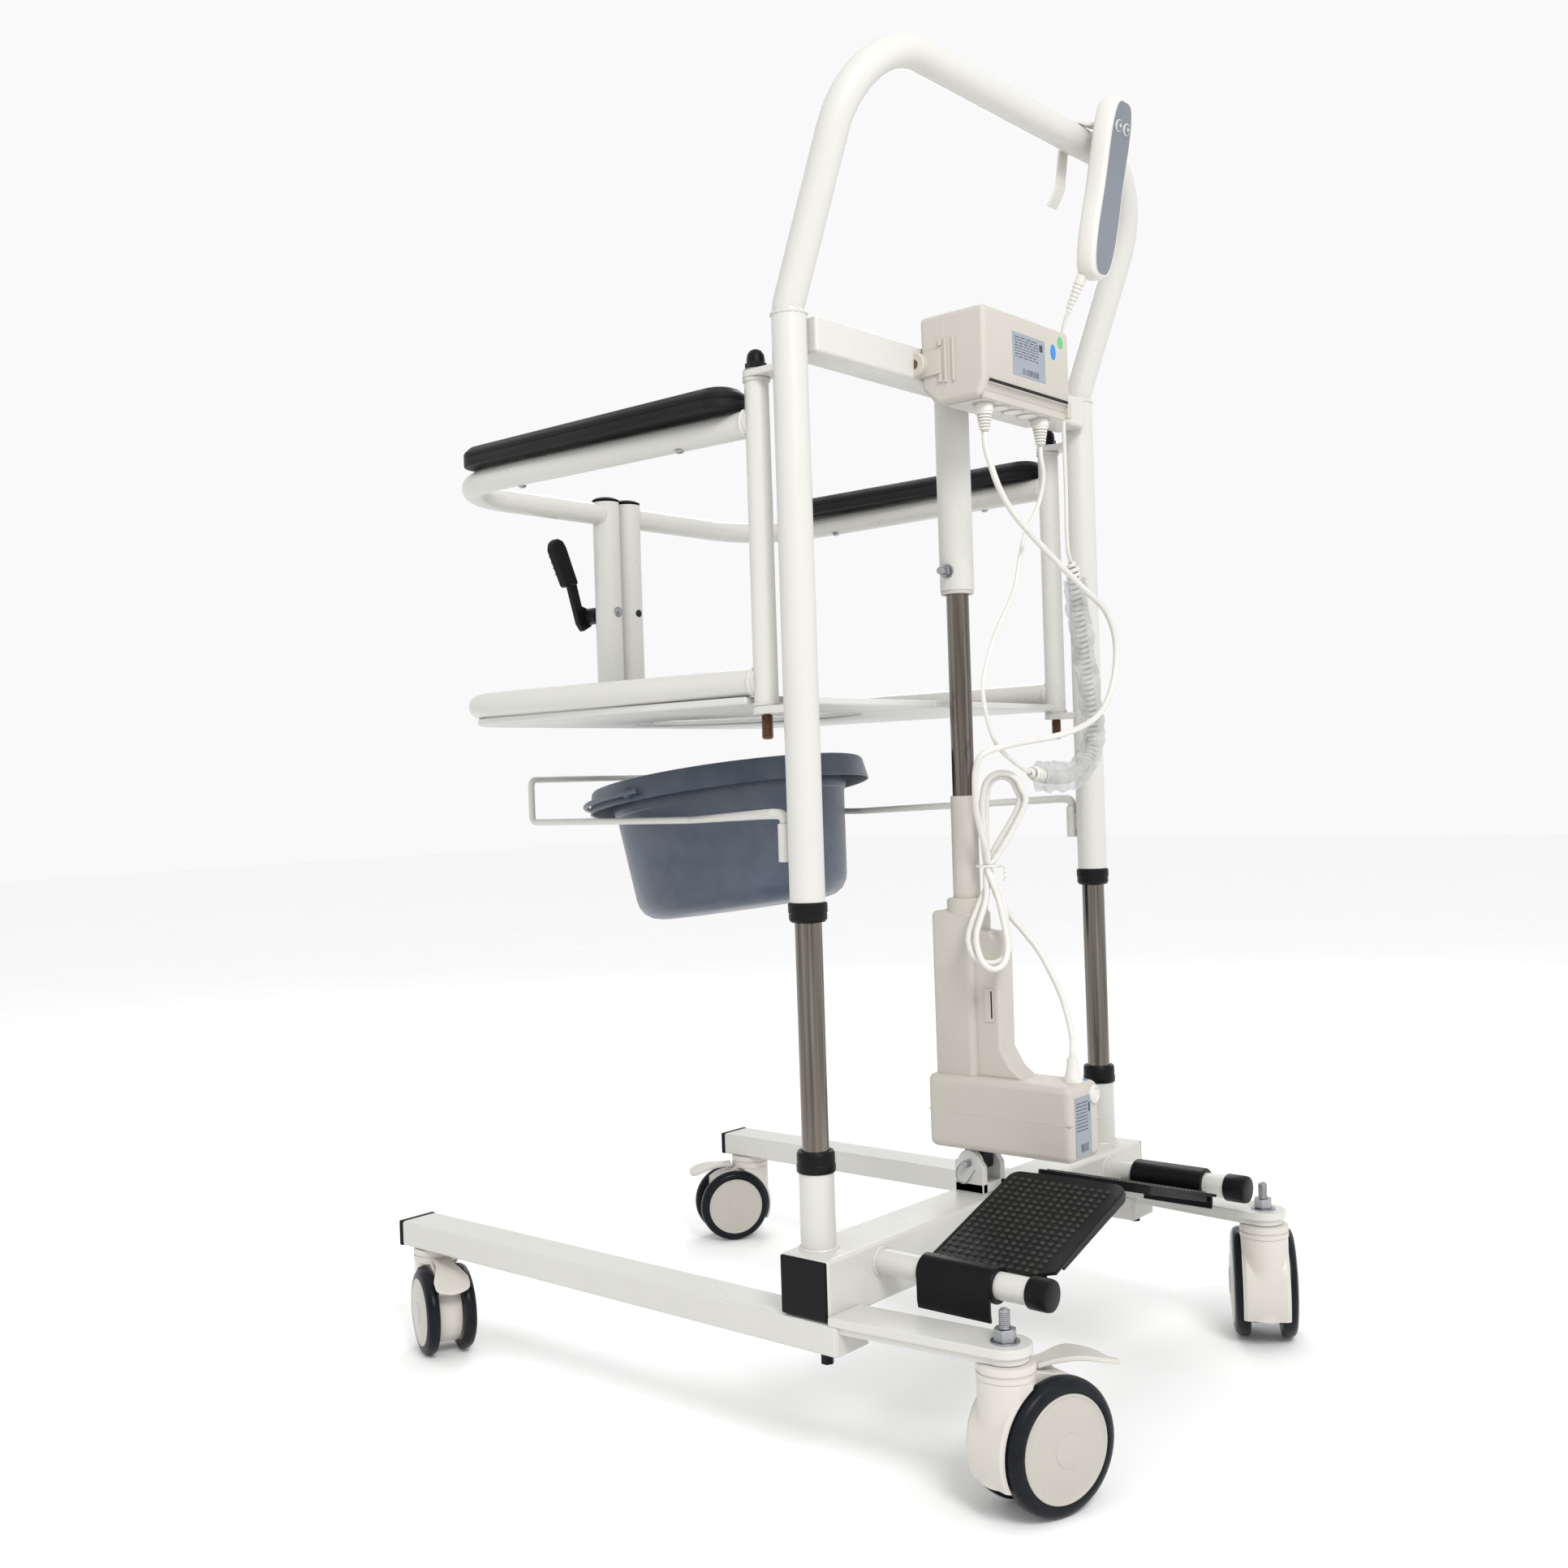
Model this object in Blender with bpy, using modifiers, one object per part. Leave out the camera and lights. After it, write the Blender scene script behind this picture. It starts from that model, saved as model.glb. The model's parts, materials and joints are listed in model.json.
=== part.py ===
"""Patient lift hoist: a wheeled transfer chair with an electric lift column, a split seat whose
halves swing open, a commode pan on a rod rack, folding footplates and four twin-wheel casters.

Units are metres, +Z is up, the chair faces -Y and the floor is z = 0. Every piece is drawn in the
chassis frame: x = 0 is the plane of symmetry and y = 0 the middle of the crossbeam. The empty
hoist_frame then shifts everything so that the whole object stands centred on the world origin.
"left" is the -X side. A piece that moves is parented to an empty that sits on its joint's axis.
"""

import math

import bmesh
import bpy
from mathutils import Matrix, Vector

# ---- Driving dimensions ----
FRAME_SHIFT = (-0.0181, -0.2042, 0.0)  # chassis zero as seen from the middle of the footprint
SIDES = ((-1, "left"), (1, "right"))
GAP = 0.0003  # clearance between pieces that touch

BEAM_HALF_LENGTH = 0.3125
BEAM_HALF_WIDTH = 0.030
BEAM_BOTTOM = 0.150
BEAM_TOP = 0.210

LEG_X = 0.290
LEG_HALF_WIDTH = 0.025
LEG_FRONT_Y = -0.042
LEG_REAR_Y = 0.640
LEG_BOTTOM = 0.120
CASTER_PLATE_TOP = 0.158
CASTER_PLATE_END_RADIUS = 0.025

COLUMN_X = 0.278
COLUMN_Y = 0.008
COLUMN_RADIUS = 0.0175
COLUMN_BORE = 0.0145
GUIDE_RADIUS = 0.0135
COLLAR_RADIUS = 0.0195
LOWER_COLLAR_TOP = 0.306
UPPER_COLLAR_BOTTOM = 0.531
UPPER_COLLAR_TOP = 0.550
GUIDE_TOP = 0.880
COLUMN_TOP = 1.130

CROSSBAR_FRONT_Y = -0.0125
CROSSBAR_REAR_Y = 0.0280
CROSSBAR_BOTTOM = 1.093
DROP_TUBE_RADIUS = 0.019
DROP_TUBE_BOTTOM = 0.876

HANDLE_RADIUS = 0.0165
HANDLE_TOP_Y = -0.090
HANDLE_TOP_Z = 1.386
HANDLE_CORNER_RADIUS = 0.100

HINGE_Y = 0.053
HINGE_TUBE_RADIUS = 0.0125
HINGE_TUBE_BOTTOM = 0.7463
HINGE_TUBE_TOP = 1.0747
EAR_HALF_WIDTH = 0.014
UPPER_EAR = (1.075, 1.082)
LOWER_EAR = (0.738, 0.746)
HINGE_BOLT_RADIUS = 0.006

RAIL_RADIUS = 0.014
ARM_RAIL_Z = 1.031
SEAT_RAIL_Z = 0.771
RAIL_SIDE_X = 0.291
RAIL_REAR_Y = 0.550
RAIL_CORNER_RADIUS = 0.100
LATCH_POST_X = 0.019
LATCH_POST_RADIUS = 0.0175
LATCH_POST_TOP = 1.047
LATCH_Z = 0.900

BOARD_BOTTOM = 0.7487
BOARD_TOP = 0.7567
BOARD_SPLIT_X = 0.0015
OPENING_CENTRE_Y = 0.330
OPENING_HALF_LENGTH = 0.165
OPENING_HALF_WIDTH = 0.100

ROD_RADIUS = 0.0125
HOUSING_FRONT_Y = -0.010
HOUSING_REAR_Y = 0.043
HOUSING_BOTTOM = 0.3403
HOUSING_TOP = 0.521
MOTOR_TOP = 0.340
MOTOR_BOTTOM = 0.2583
CLEVIS_PIN = (0.0025, 0.243)  # y, z

FOOTREST_X = 0.226
FOOTREST_Z = 0.190
FOOTREST_TUBE_RADIUS = 0.013
FOOTREST_TILT = {"left": math.radians(18.0), "right": math.radians(15.4)}
FOOTREST_REACH = {"left": 0.192, "right": 0.200}
FOOTREST_END_Y = {"left": -0.226, "right": -0.209}
PLATE_SLEEVE_Y = {"left": (-0.083, -0.169), "right": (-0.068, -0.158)}
PLATE_SHIFT_Y = {"left": 0.0, "right": 0.024}  # the right sleeve sits further back on its tube
TREAD_TOP = {"left": 0.191, "right": 0.180}  # height of the tread's top under the sleeve

RACK_BAR_X = 0.160
RACK_BAR_Z = 0.6295
BUCKET_CENTRE = (0.0, 0.363, 0.6665)
BUCKET_TILT = math.radians(-8.0)
BUCKET_RIM_RADIUS = 0.176

HANDSET_CENTRE = (0.129, -0.1195, 1.3245)
HANDSET_TILT = math.radians(11.2)

# swivel axis x and y, wheel radius, trail, wheel spacing, tyre width, heading of the trail
CASTERS = {
    "front_left": (-0.274, -0.204, 0.0625, 0.038, 0.0285, 0.022, math.radians(-17)),
    "front_right": (0.274, -0.204, 0.0625, 0.038, 0.0285, 0.022, math.radians(28)),
    "rear_left": (-0.288, 0.608, 0.050, 0.030, 0.024, 0.018, math.radians(-113.5)),
    "rear_right": (0.288, 0.608, 0.050, 0.030, 0.024, 0.018, math.radians(145)),
}
PEDAL_DROP = {"rear_left": math.radians(14)}  # this brake pedal is pressed down
WHEEL_STEPS = 24

# ---- Scene, collections and materials ----
for old in list(bpy.data.objects):
    bpy.data.objects.remove(old)
PARTS = bpy.data.collections.new("patient_lift_hoist")
HELPERS = bpy.data.collections.new("cutters_and_unions")
for collection in (PARTS, HELPERS):
    bpy.context.scene.collection.children.link(collection)


def paint(name, colour, roughness, metallic=0.0):
    """A Principled material."""
    made = bpy.data.materials.new(name)
    made.use_nodes = True
    shader = made.node_tree.nodes["Principled BSDF"]
    shader.inputs["Base Color"].default_value = (*colour, 1.0)
    shader.inputs["Roughness"].default_value = roughness
    shader.inputs["Metallic"].default_value = metallic
    return made


WHITE_STEEL = paint("white_powder_coat", (0.86, 0.86, 0.84), 0.35)
CHROME = paint("chrome", (0.60, 0.58, 0.56), 0.12, 1.0)
ZINC = paint("zinc_plated_steel", (0.55, 0.56, 0.58), 0.30, 1.0)
BLACK_PLASTIC = paint("black_plastic", (0.02, 0.02, 0.02), 0.45)
BLACK_RUBBER = paint("black_rubber", (0.03, 0.03, 0.035), 0.70)
PALE_PLASTIC = paint("pale_grey_plastic", (0.74, 0.72, 0.67), 0.50)
IVORY_PLASTIC = paint("ivory_plastic", (0.83, 0.81, 0.75), 0.42)
BLUE_GREY_PLASTIC = paint("blue_grey_plastic", (0.16, 0.19, 0.24), 0.40)
WHITE_BOARD = paint("white_board", (0.82, 0.82, 0.80), 0.45)
BLACK_VINYL = paint("black_vinyl", (0.02, 0.02, 0.022), 0.40)
CORD_PLASTIC = paint("cord_plastic", (0.80, 0.79, 0.75), 0.50)


# ---- Tools that make shapes ----
FRAME = bpy.data.objects.new("hoist_frame", None)
FRAME.location = FRAME_SHIFT
PARTS.objects.link(FRAME)
LOCAL_FRAMES = set()


def joint_empty(name, place, parent=FRAME):
    """An empty on a joint's axis. Its pieces are still drawn in chassis coordinates."""
    empty = bpy.data.objects.new(name, None)
    empty.location = place
    empty.parent = parent
    PARTS.objects.link(empty)
    return empty


def local_frame(name, place, turn):
    """An empty that is turned as well: its pieces are drawn in its own coordinates."""
    empty = joint_empty(name, place)
    empty.rotation_euler = turn
    LOCAL_FRAMES.add(empty)
    return empty


def new_object(name, data, material, pivot=None):
    """Links a shape as a part or, with no material, as a helper that only cuts or joins."""
    obj = bpy.data.objects.new(name, data)
    if material is None:
        HELPERS.objects.link(obj)
        obj.hide_render = True
        obj.display_type = "WIRE"
    else:
        PARTS.objects.link(obj)
        data.materials.append(material)
    obj.parent = pivot or FRAME
    if pivot and pivot not in LOCAL_FRAMES:
        obj.matrix_parent_inverse = Matrix.Translation(-pivot.location)
    return obj


def bevel(obj, width, segments=1):
    """Rounds the edges sharper than 40 degrees."""
    edge = obj.modifiers.new("bevel", "BEVEL")
    edge.width = width
    edge.segments = segments
    edge.limit_method = "ANGLE"
    edge.angle_limit = math.radians(40)
    return obj


def combine(obj, *helpers, operation="UNION"):
    """Joins the helpers to a piece, or cuts them from it."""
    for helper in helpers:
        step = obj.modifiers.new(operation.lower(), "BOOLEAN")
        step.operation = operation
        step.solver = "EXACT"
        step.object = helper
    return obj


def box(name, low, high, material=None, pivot=None):
    """A block between two opposite corners."""
    shape = bmesh.new()
    bmesh.ops.create_cube(shape, size=1.0)
    for vertex in shape.verts:
        vertex.co = [a + (b - a) * (c + 0.5) for a, b, c in zip(low, high, vertex.co)]
    mesh = bpy.data.meshes.new(name)
    shape.to_mesh(mesh)
    shape.free()
    return new_object(name, mesh, material, pivot)


def rod(name, start, end, radius, material=None, pivot=None, sides=16, end_radius=None):
    """A round bar, or a cone where end_radius differs, from one point to another."""
    start = Vector(start)
    along = Vector(end) - start
    shape = bmesh.new()
    bmesh.ops.create_cone(
        shape,
        cap_ends=True,
        segments=sides,
        radius1=radius,
        radius2=radius if end_radius is None else end_radius,
        depth=along.length,
    )
    turn = along.to_track_quat("Z", "Y").to_matrix().to_4x4()
    bmesh.ops.transform(shape, matrix=Matrix.Translation(start + along / 2) @ turn, verts=shape.verts)
    mesh = bpy.data.meshes.new(name)
    shape.to_mesh(mesh)
    shape.free()
    mesh.shade_smooth()
    mesh.set_sharp_from_angle(angle=math.radians(40))
    return new_object(name, mesh, material, pivot)


def turned(name, profile, place, material=None, pivot=None, steps=16, closed=False):
    """A profile of (radius, height) points, outer side downwards, spun about a vertical axis."""
    mesh = bpy.data.meshes.new(name)
    count = len(profile)
    edges = [(i, i + 1) for i in range(count - 1)]
    if closed:
        edges.append((count - 1, 0))
    mesh.from_pydata([(r, 0.0, z) for r, z in profile], edges, [])
    obj = new_object(name, mesh, material, pivot)
    obj.location = place
    screw = obj.modifiers.new("screw", "SCREW")
    screw.steps = steps
    screw.render_steps = steps
    screw.use_merge_vertices = True
    screw.merge_threshold = 0.00001
    screw.use_smooth_shade = True
    return obj


def sleeve(name, place, outer, inner, low, high, material, pivot=None):
    """A short or long tube with open ends, standing upright."""
    profile = [(outer, high), (outer, low), (inner, low), (inner, high)]
    return turned(name, profile, (place[0], place[1], 0.0), material, pivot, closed=True)


def as_mesh(curve):
    """Replaces a curve object by its mesh, whose caps are welded to its sides."""
    graph = bpy.context.evaluated_depsgraph_get()
    mesh = bpy.data.meshes.new_from_object(curve.evaluated_get(graph))
    shape = bmesh.new()
    shape.from_mesh(mesh)
    bmesh.ops.remove_doubles(shape, verts=shape.verts, dist=0.00001)
    shape.to_mesh(mesh)
    shape.free()
    solid = bpy.data.objects.new(curve.name + "_mesh", mesh)
    curve.users_collection[0].objects.link(solid)
    solid.hide_render = curve.hide_render
    solid.display_type = curve.display_type
    solid.parent = curve.parent
    solid.matrix_parent_inverse = curve.matrix_parent_inverse
    solid.matrix_basis = curve.matrix_basis
    name = curve.name
    bpy.data.objects.remove(curve)
    solid.name = name
    return solid


def tube(name, path, radius, material=None, pivot=None, sides=12, radii=None):
    """A round bar or wire along a path. radii scales its radius from point to point."""
    curve = bpy.data.curves.new(name, "CURVE")
    curve.dimensions = "3D"
    curve.bevel_depth = radius
    curve.bevel_resolution = sides // 2 - 2
    curve.use_fill_caps = True
    spline = curve.splines.new("POLY")
    spline.points.add(len(path) - 1)
    for i, (point, place) in enumerate(zip(spline.points, path)):
        point.co = (*place, 1.0)
        point.radius = radii[i] if radii else 1.0
    return new_object(name, curve, material, pivot)


def plate(name, outlines, low, high, material=None, pivot=None, upright=False):
    """A flat outline, with holes as further outlines, filled between two heights.

    An upright plate's outline is in (y, z), and low and high are its two x.
    """
    curve = bpy.data.curves.new(name, "CURVE")
    curve.dimensions = "2D"
    curve.fill_mode = "BOTH"
    curve.extrude = (high - low) / 2
    for outline in outlines:
        spline = curve.splines.new("POLY")
        spline.use_cyclic_u = True
        spline.points.add(len(outline) - 1)
        for point, (u, v) in zip(spline.points, outline):
            point.co = (u, v, 0.0, 1.0)
    obj = new_object(name, curve, material, pivot)
    if upright:
        obj.rotation_euler = (math.pi / 2, 0.0, math.pi / 2)
        obj.location.x = (low + high) / 2
    else:
        obj.location.z = (low + high) / 2
    return as_mesh(obj)


def arc(centre, radius, start_degrees, end_degrees, steps):
    """Points of an arc in a plane."""
    points = []
    for i in range(steps + 1):
        angle = math.radians(start_degrees + (end_degrees - start_degrees) * i / steps)
        points.append((centre[0] + radius * math.cos(angle), centre[1] + radius * math.sin(angle)))
    return points


def rounded(corners, radius, step=math.radians(20)):
    """The path through the corners, with each bend an arc of the given radius."""
    corners = [Vector(corner) for corner in corners]
    path = [corners[0]]
    for before, corner, after in zip(corners, corners[1:], corners[2:]):
        back = (before - corner).normalized()
        onward = (after - corner).normalized()
        half = back.angle(onward) / 2
        centre = corner + (back + onward).normalized() * radius / math.sin(half)
        spoke = corner + back * radius / math.tan(half) - centre
        turn = math.pi - 2 * half
        axis = back.cross(onward)
        count = max(1, round(turn / step))
        for i in range(count + 1):
            path.append(centre + Matrix.Rotation(-turn * i / count, 3, axis) @ spoke)
    path.append(corners[-1])
    return path


def flow(route, spacing):
    """Points every `spacing` or so along the smooth curve through a route's points."""
    route = [Vector(point) for point in route]
    ends = [2 * route[0] - route[1], *route, 2 * route[-1] - route[-2]]
    path = []
    for a, b, c, d in zip(ends, ends[1:], ends[2:], ends[3:]):
        count = max(1, round((c - b).length / spacing))
        for i in range(count):
            t = i / count
            path.append(
                0.5 * (2 * b + (c - a) * t + (2 * a - 5 * b + 4 * c - d) * t**2 + (3 * b - a - 3 * c + d) * t**3)
            )
    path.append(route[-1])
    return path


def mirrored(side, outline):
    """The outline on the right or the left of the plane of symmetry."""
    return [(side * x, y) for x, y in outline]


# ---- Base ----
def crossbeam():
    low = (-BEAM_HALF_LENGTH, -BEAM_HALF_WIDTH, BEAM_BOTTOM)
    high = (BEAM_HALF_LENGTH, BEAM_HALF_WIDTH, BEAM_TOP)
    bevel(box("crossbeam", low, high, WHITE_STEEL), 0.004)


def leg(side, word):
    """A side leg with the plate, stud and nut of its front caster welded to it."""
    inner, outer = sorted((side * (LEG_X - LEG_HALF_WIDTH), side * (LEG_X + LEG_HALF_WIDTH)))
    top = BEAM_BOTTOM - GAP
    name = f"leg_{word}"
    low = (inner, LEG_FRONT_Y, LEG_BOTTOM)
    bar = bevel(box(name, low, (outer, LEG_REAR_Y, top), WHITE_STEEL), 0.003)
    stud_x, stud_y = CASTERS[f"front_{word}"][:2]
    front = -BEAM_HALF_WIDTH - GAP
    end = arc((abs(stud_x), stud_y), CASTER_PLATE_END_RADIUS, 0, -180, 8)
    outline = [(LEG_X - LEG_HALF_WIDTH, front), (LEG_X + LEG_HALF_WIDTH, front), *end]
    arm = plate(f"{name}_arm", [mirrored(side, outline)], top - 0.0007, CASTER_PLATE_TOP)
    spacer = rod(f"{name}_spacer", (stud_x, stud_y, 0.1424), (stud_x, stud_y, top), 0.014, sides=6)
    nut = rod(f"{name}_nut", (stud_x, stud_y, 0.157), (stud_x, stud_y, 0.175), 0.011, sides=6)
    stud = rod(f"{name}_stud", (stud_x, stud_y, 0.150), (stud_x, stud_y, 0.190), 0.005, sides=10)
    combine(bar, arm, spacer, nut, stud)


def column_foot(side, word):
    """The stub on the crossbeam, its black collar and the chrome guide tube inside both."""
    place = (side * COLUMN_X, COLUMN_Y)
    stub_top = LOWER_COLLAR_TOP - 0.021
    sleeve(f"column_stub_{word}", place, COLUMN_RADIUS, 0.0143, BEAM_TOP + GAP, stub_top - GAP, WHITE_STEEL)
    sleeve(f"guide_tube_{word}", place, GUIDE_RADIUS, 0.0115, BEAM_TOP + GAP, GUIDE_TOP, CHROME)
    sleeve(f"lower_collar_{word}", place, COLLAR_RADIUS, 0.0142, stub_top, LOWER_COLLAR_TOP, BLACK_PLASTIC)


def footrest_tube(side, word):
    start = (side * FOOTREST_X, -BEAM_HALF_WIDTH - GAP, FOOTREST_Z)
    end = (side * FOOTREST_X, FOOTREST_END_Y[word], FOOTREST_Z)
    rod(f"footrest_tube_{word}", start, end, FOOTREST_TUBE_RADIUS, WHITE_STEEL)


def clevis():
    """The fork on the crossbeam that holds the foot of the actuator, with its pin."""
    fork = box("clevis", (-0.022, -0.016, BEAM_TOP + GAP), (0.022, 0.021, 0.2577), ZINC)
    slot = box("clevis_slot", (-0.0125, -0.020, 0.222), (0.0125, 0.025, 0.262))
    pin = rod("clevis_pin", (-0.031, *CLEVIS_PIN), (0.027, *CLEVIS_PIN), 0.004, sides=10)
    combine(fork, slot, operation="DIFFERENCE")
    combine(fork, pin)


def actuator_housing():
    """The lift actuator's fixed body, bored for the rod that slides in it."""
    place = (0.0, COLUMN_Y)
    low = (-0.023, HOUSING_FRONT_Y, HOUSING_BOTTOM)
    high = (0.023, HOUSING_REAR_Y, HOUSING_TOP)
    body = bevel(box("actuator_housing", low, high, PALE_PLASTIC), 0.005)
    nose = bevel(box("housing_nose", (-0.016, -0.040, HOUSING_BOTTOM), (0.016, -0.004, 0.498)), 0.004)
    profile = [(0.0, 0.648), (0.0145, 0.648), (0.0145, 0.636), (0.0152, 0.636), (0.0152, 0.535)]
    profile += [(0.023, 0.535), (0.023, 0.510), (0.0, 0.510)]
    neck = turned("housing_neck", profile, (*place, 0.0))
    bore = rod("housing_bore", (*place, 0.345), (*place, 0.660), 0.0132)
    combine(body, nose, neck)
    combine(body, bore, operation="DIFFERENCE")


def motor_cover():
    """The motor and gear box under the housing, with its cable gland and its lower eye."""
    low = (-0.030, -0.133, MOTOR_BOTTOM)
    cover = bevel(box("motor_cover", low, (0.032, 0.050, MOTOR_TOP), PALE_PLASTIC), 0.008, 2)
    gland = rod("cover_gland", (0.005, -0.117, 0.336), (0.005, -0.117, 0.366), 0.0105, end_radius=0.0065)
    screw_cap = rod("cover_cap", (0.019, -0.130, 0.326), (0.019, -0.1365, 0.326), 0.010)
    eye = box("cover_eye", (-0.011, -0.010, 0.232), (0.011, 0.016, 0.264))
    eye_hole = rod("cover_eye_hole", (-0.02, *CLEVIS_PIN), (0.02, *CLEVIS_PIN), 0.0048, sides=12)
    combine(cover, gland, screw_cap, eye)
    combine(cover, eye_hole, operation="DIFFERENCE")


# ---- Lift frame ----
def outer_column(side, word, lift):
    """A sliding column tube with the two ears of the seat hinge and the socket of the pan rack."""
    x = side * COLUMN_X
    name = f"outer_column_{word}"
    low = UPPER_COLLAR_TOP + GAP
    top = COLUMN_TOP - GAP
    column = rod(name, (x, COLUMN_Y, low), (x, COLUMN_Y, top), COLUMN_RADIUS, WHITE_STEEL, lift)
    helpers = []
    for place, (bottom, upper) in (("upper", UPPER_EAR), ("lower", LOWER_EAR)):
        round_end = arc((COLUMN_X, HINGE_Y), EAR_HALF_WIDTH, 0, 180, 8)
        outline = [(COLUMN_X + EAR_HALF_WIDTH, COLUMN_Y), *round_end, (COLUMN_X - EAR_HALF_WIDTH, COLUMN_Y)]
        helpers.append(plate(f"{name}_{place}_ear", [mirrored(side, outline)], bottom, upper))
    helpers.append(rod(f"{name}_socket", (x, 0.034, 0.590), (x, 0.034, 0.628), 0.0072, sides=12))
    helpers.append(box(f"{name}_tab", (x - 0.004, 0.020, 0.600), (x + 0.004, 0.030, 0.620)))
    combine(column, *helpers)
    bore = rod(f"{name}_bore", (x, COLUMN_Y, 0.5), (x, COLUMN_Y, 1.2), COLUMN_BORE)
    hinge_bore = rod(f"{name}_hinge_bore", (x, HINGE_Y, 0.7), (x, HINGE_Y, 1.2), 0.0066, sides=12)
    socket_bore = rod(f"{name}_socket_bore", (x, 0.034, 0.594), (x, 0.034, 0.640), 0.0058, sides=12)
    combine(column, bore, hinge_bore, socket_bore, operation="DIFFERENCE")
    collar_place = (x, COLUMN_Y)
    sleeve(
        f"upper_collar_{word}", collar_place, COLLAR_RADIUS, 0.0142,
        UPPER_COLLAR_BOTTOM, UPPER_COLLAR_TOP, BLACK_PLASTIC, lift,
    )  # fmt: skip


def crossbar(lift):
    """The bar between the columns, with the tube that drops from it to the actuator's rod."""
    half = COLUMN_X - COLUMN_RADIUS - GAP
    low = (-half, CROSSBAR_FRONT_Y, CROSSBAR_BOTTOM)
    bar = bevel(box("crossbar", low, (half, CROSSBAR_REAR_Y, COLUMN_TOP - GAP), WHITE_STEEL, lift), 0.003)
    drop = rod("crossbar_drop", (0, COLUMN_Y, DROP_TUBE_BOTTOM), (0, COLUMN_Y, 1.100), DROP_TUBE_RADIUS)
    bore = rod("crossbar_bore", (0, COLUMN_Y, 0.870), (0, COLUMN_Y, 1.060), 0.0152)
    combine(bar, drop)
    combine(bar, bore, operation="DIFFERENCE")


def handle(lift):
    """The push handle, a bent tube that leans forward from the column tops."""
    bend_z = COLUMN_TOP + 0.008
    corners = []
    for side in (-1, 1):
        leg_points = [
            (side * COLUMN_X, COLUMN_Y, COLUMN_TOP + GAP),
            (side * COLUMN_X, COLUMN_Y, bend_z),
            (side * COLUMN_X, HANDLE_TOP_Y, HANDLE_TOP_Z),
        ]
        corners += leg_points if side < 0 else leg_points[::-1]
    bends = rounded(corners[1:5], HANDLE_CORNER_RADIUS, math.radians(12))
    tube("push_handle", [corners[0], *bends, corners[5]], HANDLE_RADIUS, WHITE_STEEL, lift, sides=14)


def actuator_rod(lift):
    rod("actuator_rod", (0, COLUMN_Y, 0.575), (0, COLUMN_Y, 0.915), ROD_RADIUS, CHROME, lift)


def control_box(lift):
    """The battery and control box on the front of the crossbar."""
    back = CROSSBAR_FRONT_Y - GAP
    outline = [(back, 1.160), (-0.095, 1.160), (-0.095, 1.081), (-0.088, 1.062), (-0.032, 1.062), (back, 1.081)]
    bevel(plate("control_box", [outline], -0.088, 0.086, PALE_PLASTIC, lift, upright=True), 0.003)


def hinge_bolt(side, word, lift):
    """The long bolt through both ears and the seat half's hinge tube, under a domed nut."""
    head = UPPER_EAR[1] + GAP
    shank = HINGE_BOLT_RADIUS
    profile = [(0.0, 1.105), (0.006, 1.1035), (0.010, 1.098), (0.011, 1.092), (0.011, head)]
    profile += [(shank, head), (shank, 0.713), (0.0, 0.713)]
    turned(f"hinge_bolt_{word}", profile, (side * COLUMN_X, HINGE_Y, 0.0), ZINC, lift, steps=12)


def plug(name, x, lift):
    """A round plug with a ribbed, tapered strain relief, pushed up into the control box."""
    profile = [(0.0, 1.0617), (0.0098, 1.0617), (0.0098, 1.052), (0.0048, 1.032), (0.0, 1.032)]
    turned(name, profile, (x, PLUG_Y, 0.0), IVORY_PLASTIC, lift, steps=12)


def bucket_rack(lift):
    """One bent rod from socket to socket, thinner where it runs beside and behind the pan."""
    half = [
        (COLUMN_X, 0.034, 0.5945),
        (COLUMN_X, 0.034, 0.637),
        (COLUMN_X, 0.050, 0.638),
        (RACK_BAR_X, 0.277, RACK_BAR_Z),
        (RACK_BAR_X, 0.553, RACK_BAR_Z),
        (RACK_BAR_X, 0.553, 0.683),
    ]
    left = [(-x, y, z) for x, y, z in half]
    path = rounded([*left, *half[::-1]], 0.008, math.radians(45))
    thick = [abs(point.x) > RACK_BAR_X + 0.010 for point in path]
    radii = [1.0 if heavy else 0.75 for heavy in thick]
    tube("bucket_rack", path, 0.0053, WHITE_STEEL, lift, sides=8, radii=radii)


# ---- Seat halves ----
def rail_path(side, z, inner_x):
    """Plan of the arm rail and of the seat rail: back from the hinge, then across to the post."""
    corners = [
        (side * (COLUMN_X + 0.001), HINGE_Y + 0.006, z),
        (side * RAIL_SIDE_X, RAIL_REAR_Y - 0.150, z),
        (side * RAIL_SIDE_X, RAIL_REAR_Y, z),
        (side * inner_x, RAIL_REAR_Y, z),
    ]
    first = rounded(corners[:3], 0.200)
    corner = rounded(corners[1:], RAIL_CORNER_RADIUS, math.radians(15))
    return [*first[:-1], *corner[1:]]


def seat_frame(side, word, seat):
    """Hinge tube, arm rail, seat rail and latch post welded into one frame."""
    hinge = (side * COLUMN_X, HINGE_Y)
    name = f"seat_frame_{word}"
    low, high = (*hinge, HINGE_TUBE_BOTTOM), (*hinge, HINGE_TUBE_TOP)
    frame = rod(name, low, high, HINGE_TUBE_RADIUS, WHITE_STEEL, seat)
    helpers = []
    for place, z in (("arm_rail", ARM_RAIL_Z), ("seat_rail", SEAT_RAIL_Z)):
        helpers.append(as_mesh(tube(f"{name}_{place}", rail_path(side, z, LATCH_POST_X + 0.004), RAIL_RADIUS)))
    post = (side * LATCH_POST_X, RAIL_REAR_Y)
    low, high = (*post, BOARD_TOP + 0.001), (*post, LATCH_POST_TOP)
    helpers.append(rod(f"{name}_post", low, high, LATCH_POST_RADIUS))
    combine(frame, *helpers)
    bore = rod(f"{name}_bore", (*hinge, 0.7), (*hinge, 1.1), 0.0072, sides=12)
    combine(frame, bore, operation="DIFFERENCE")


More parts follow.
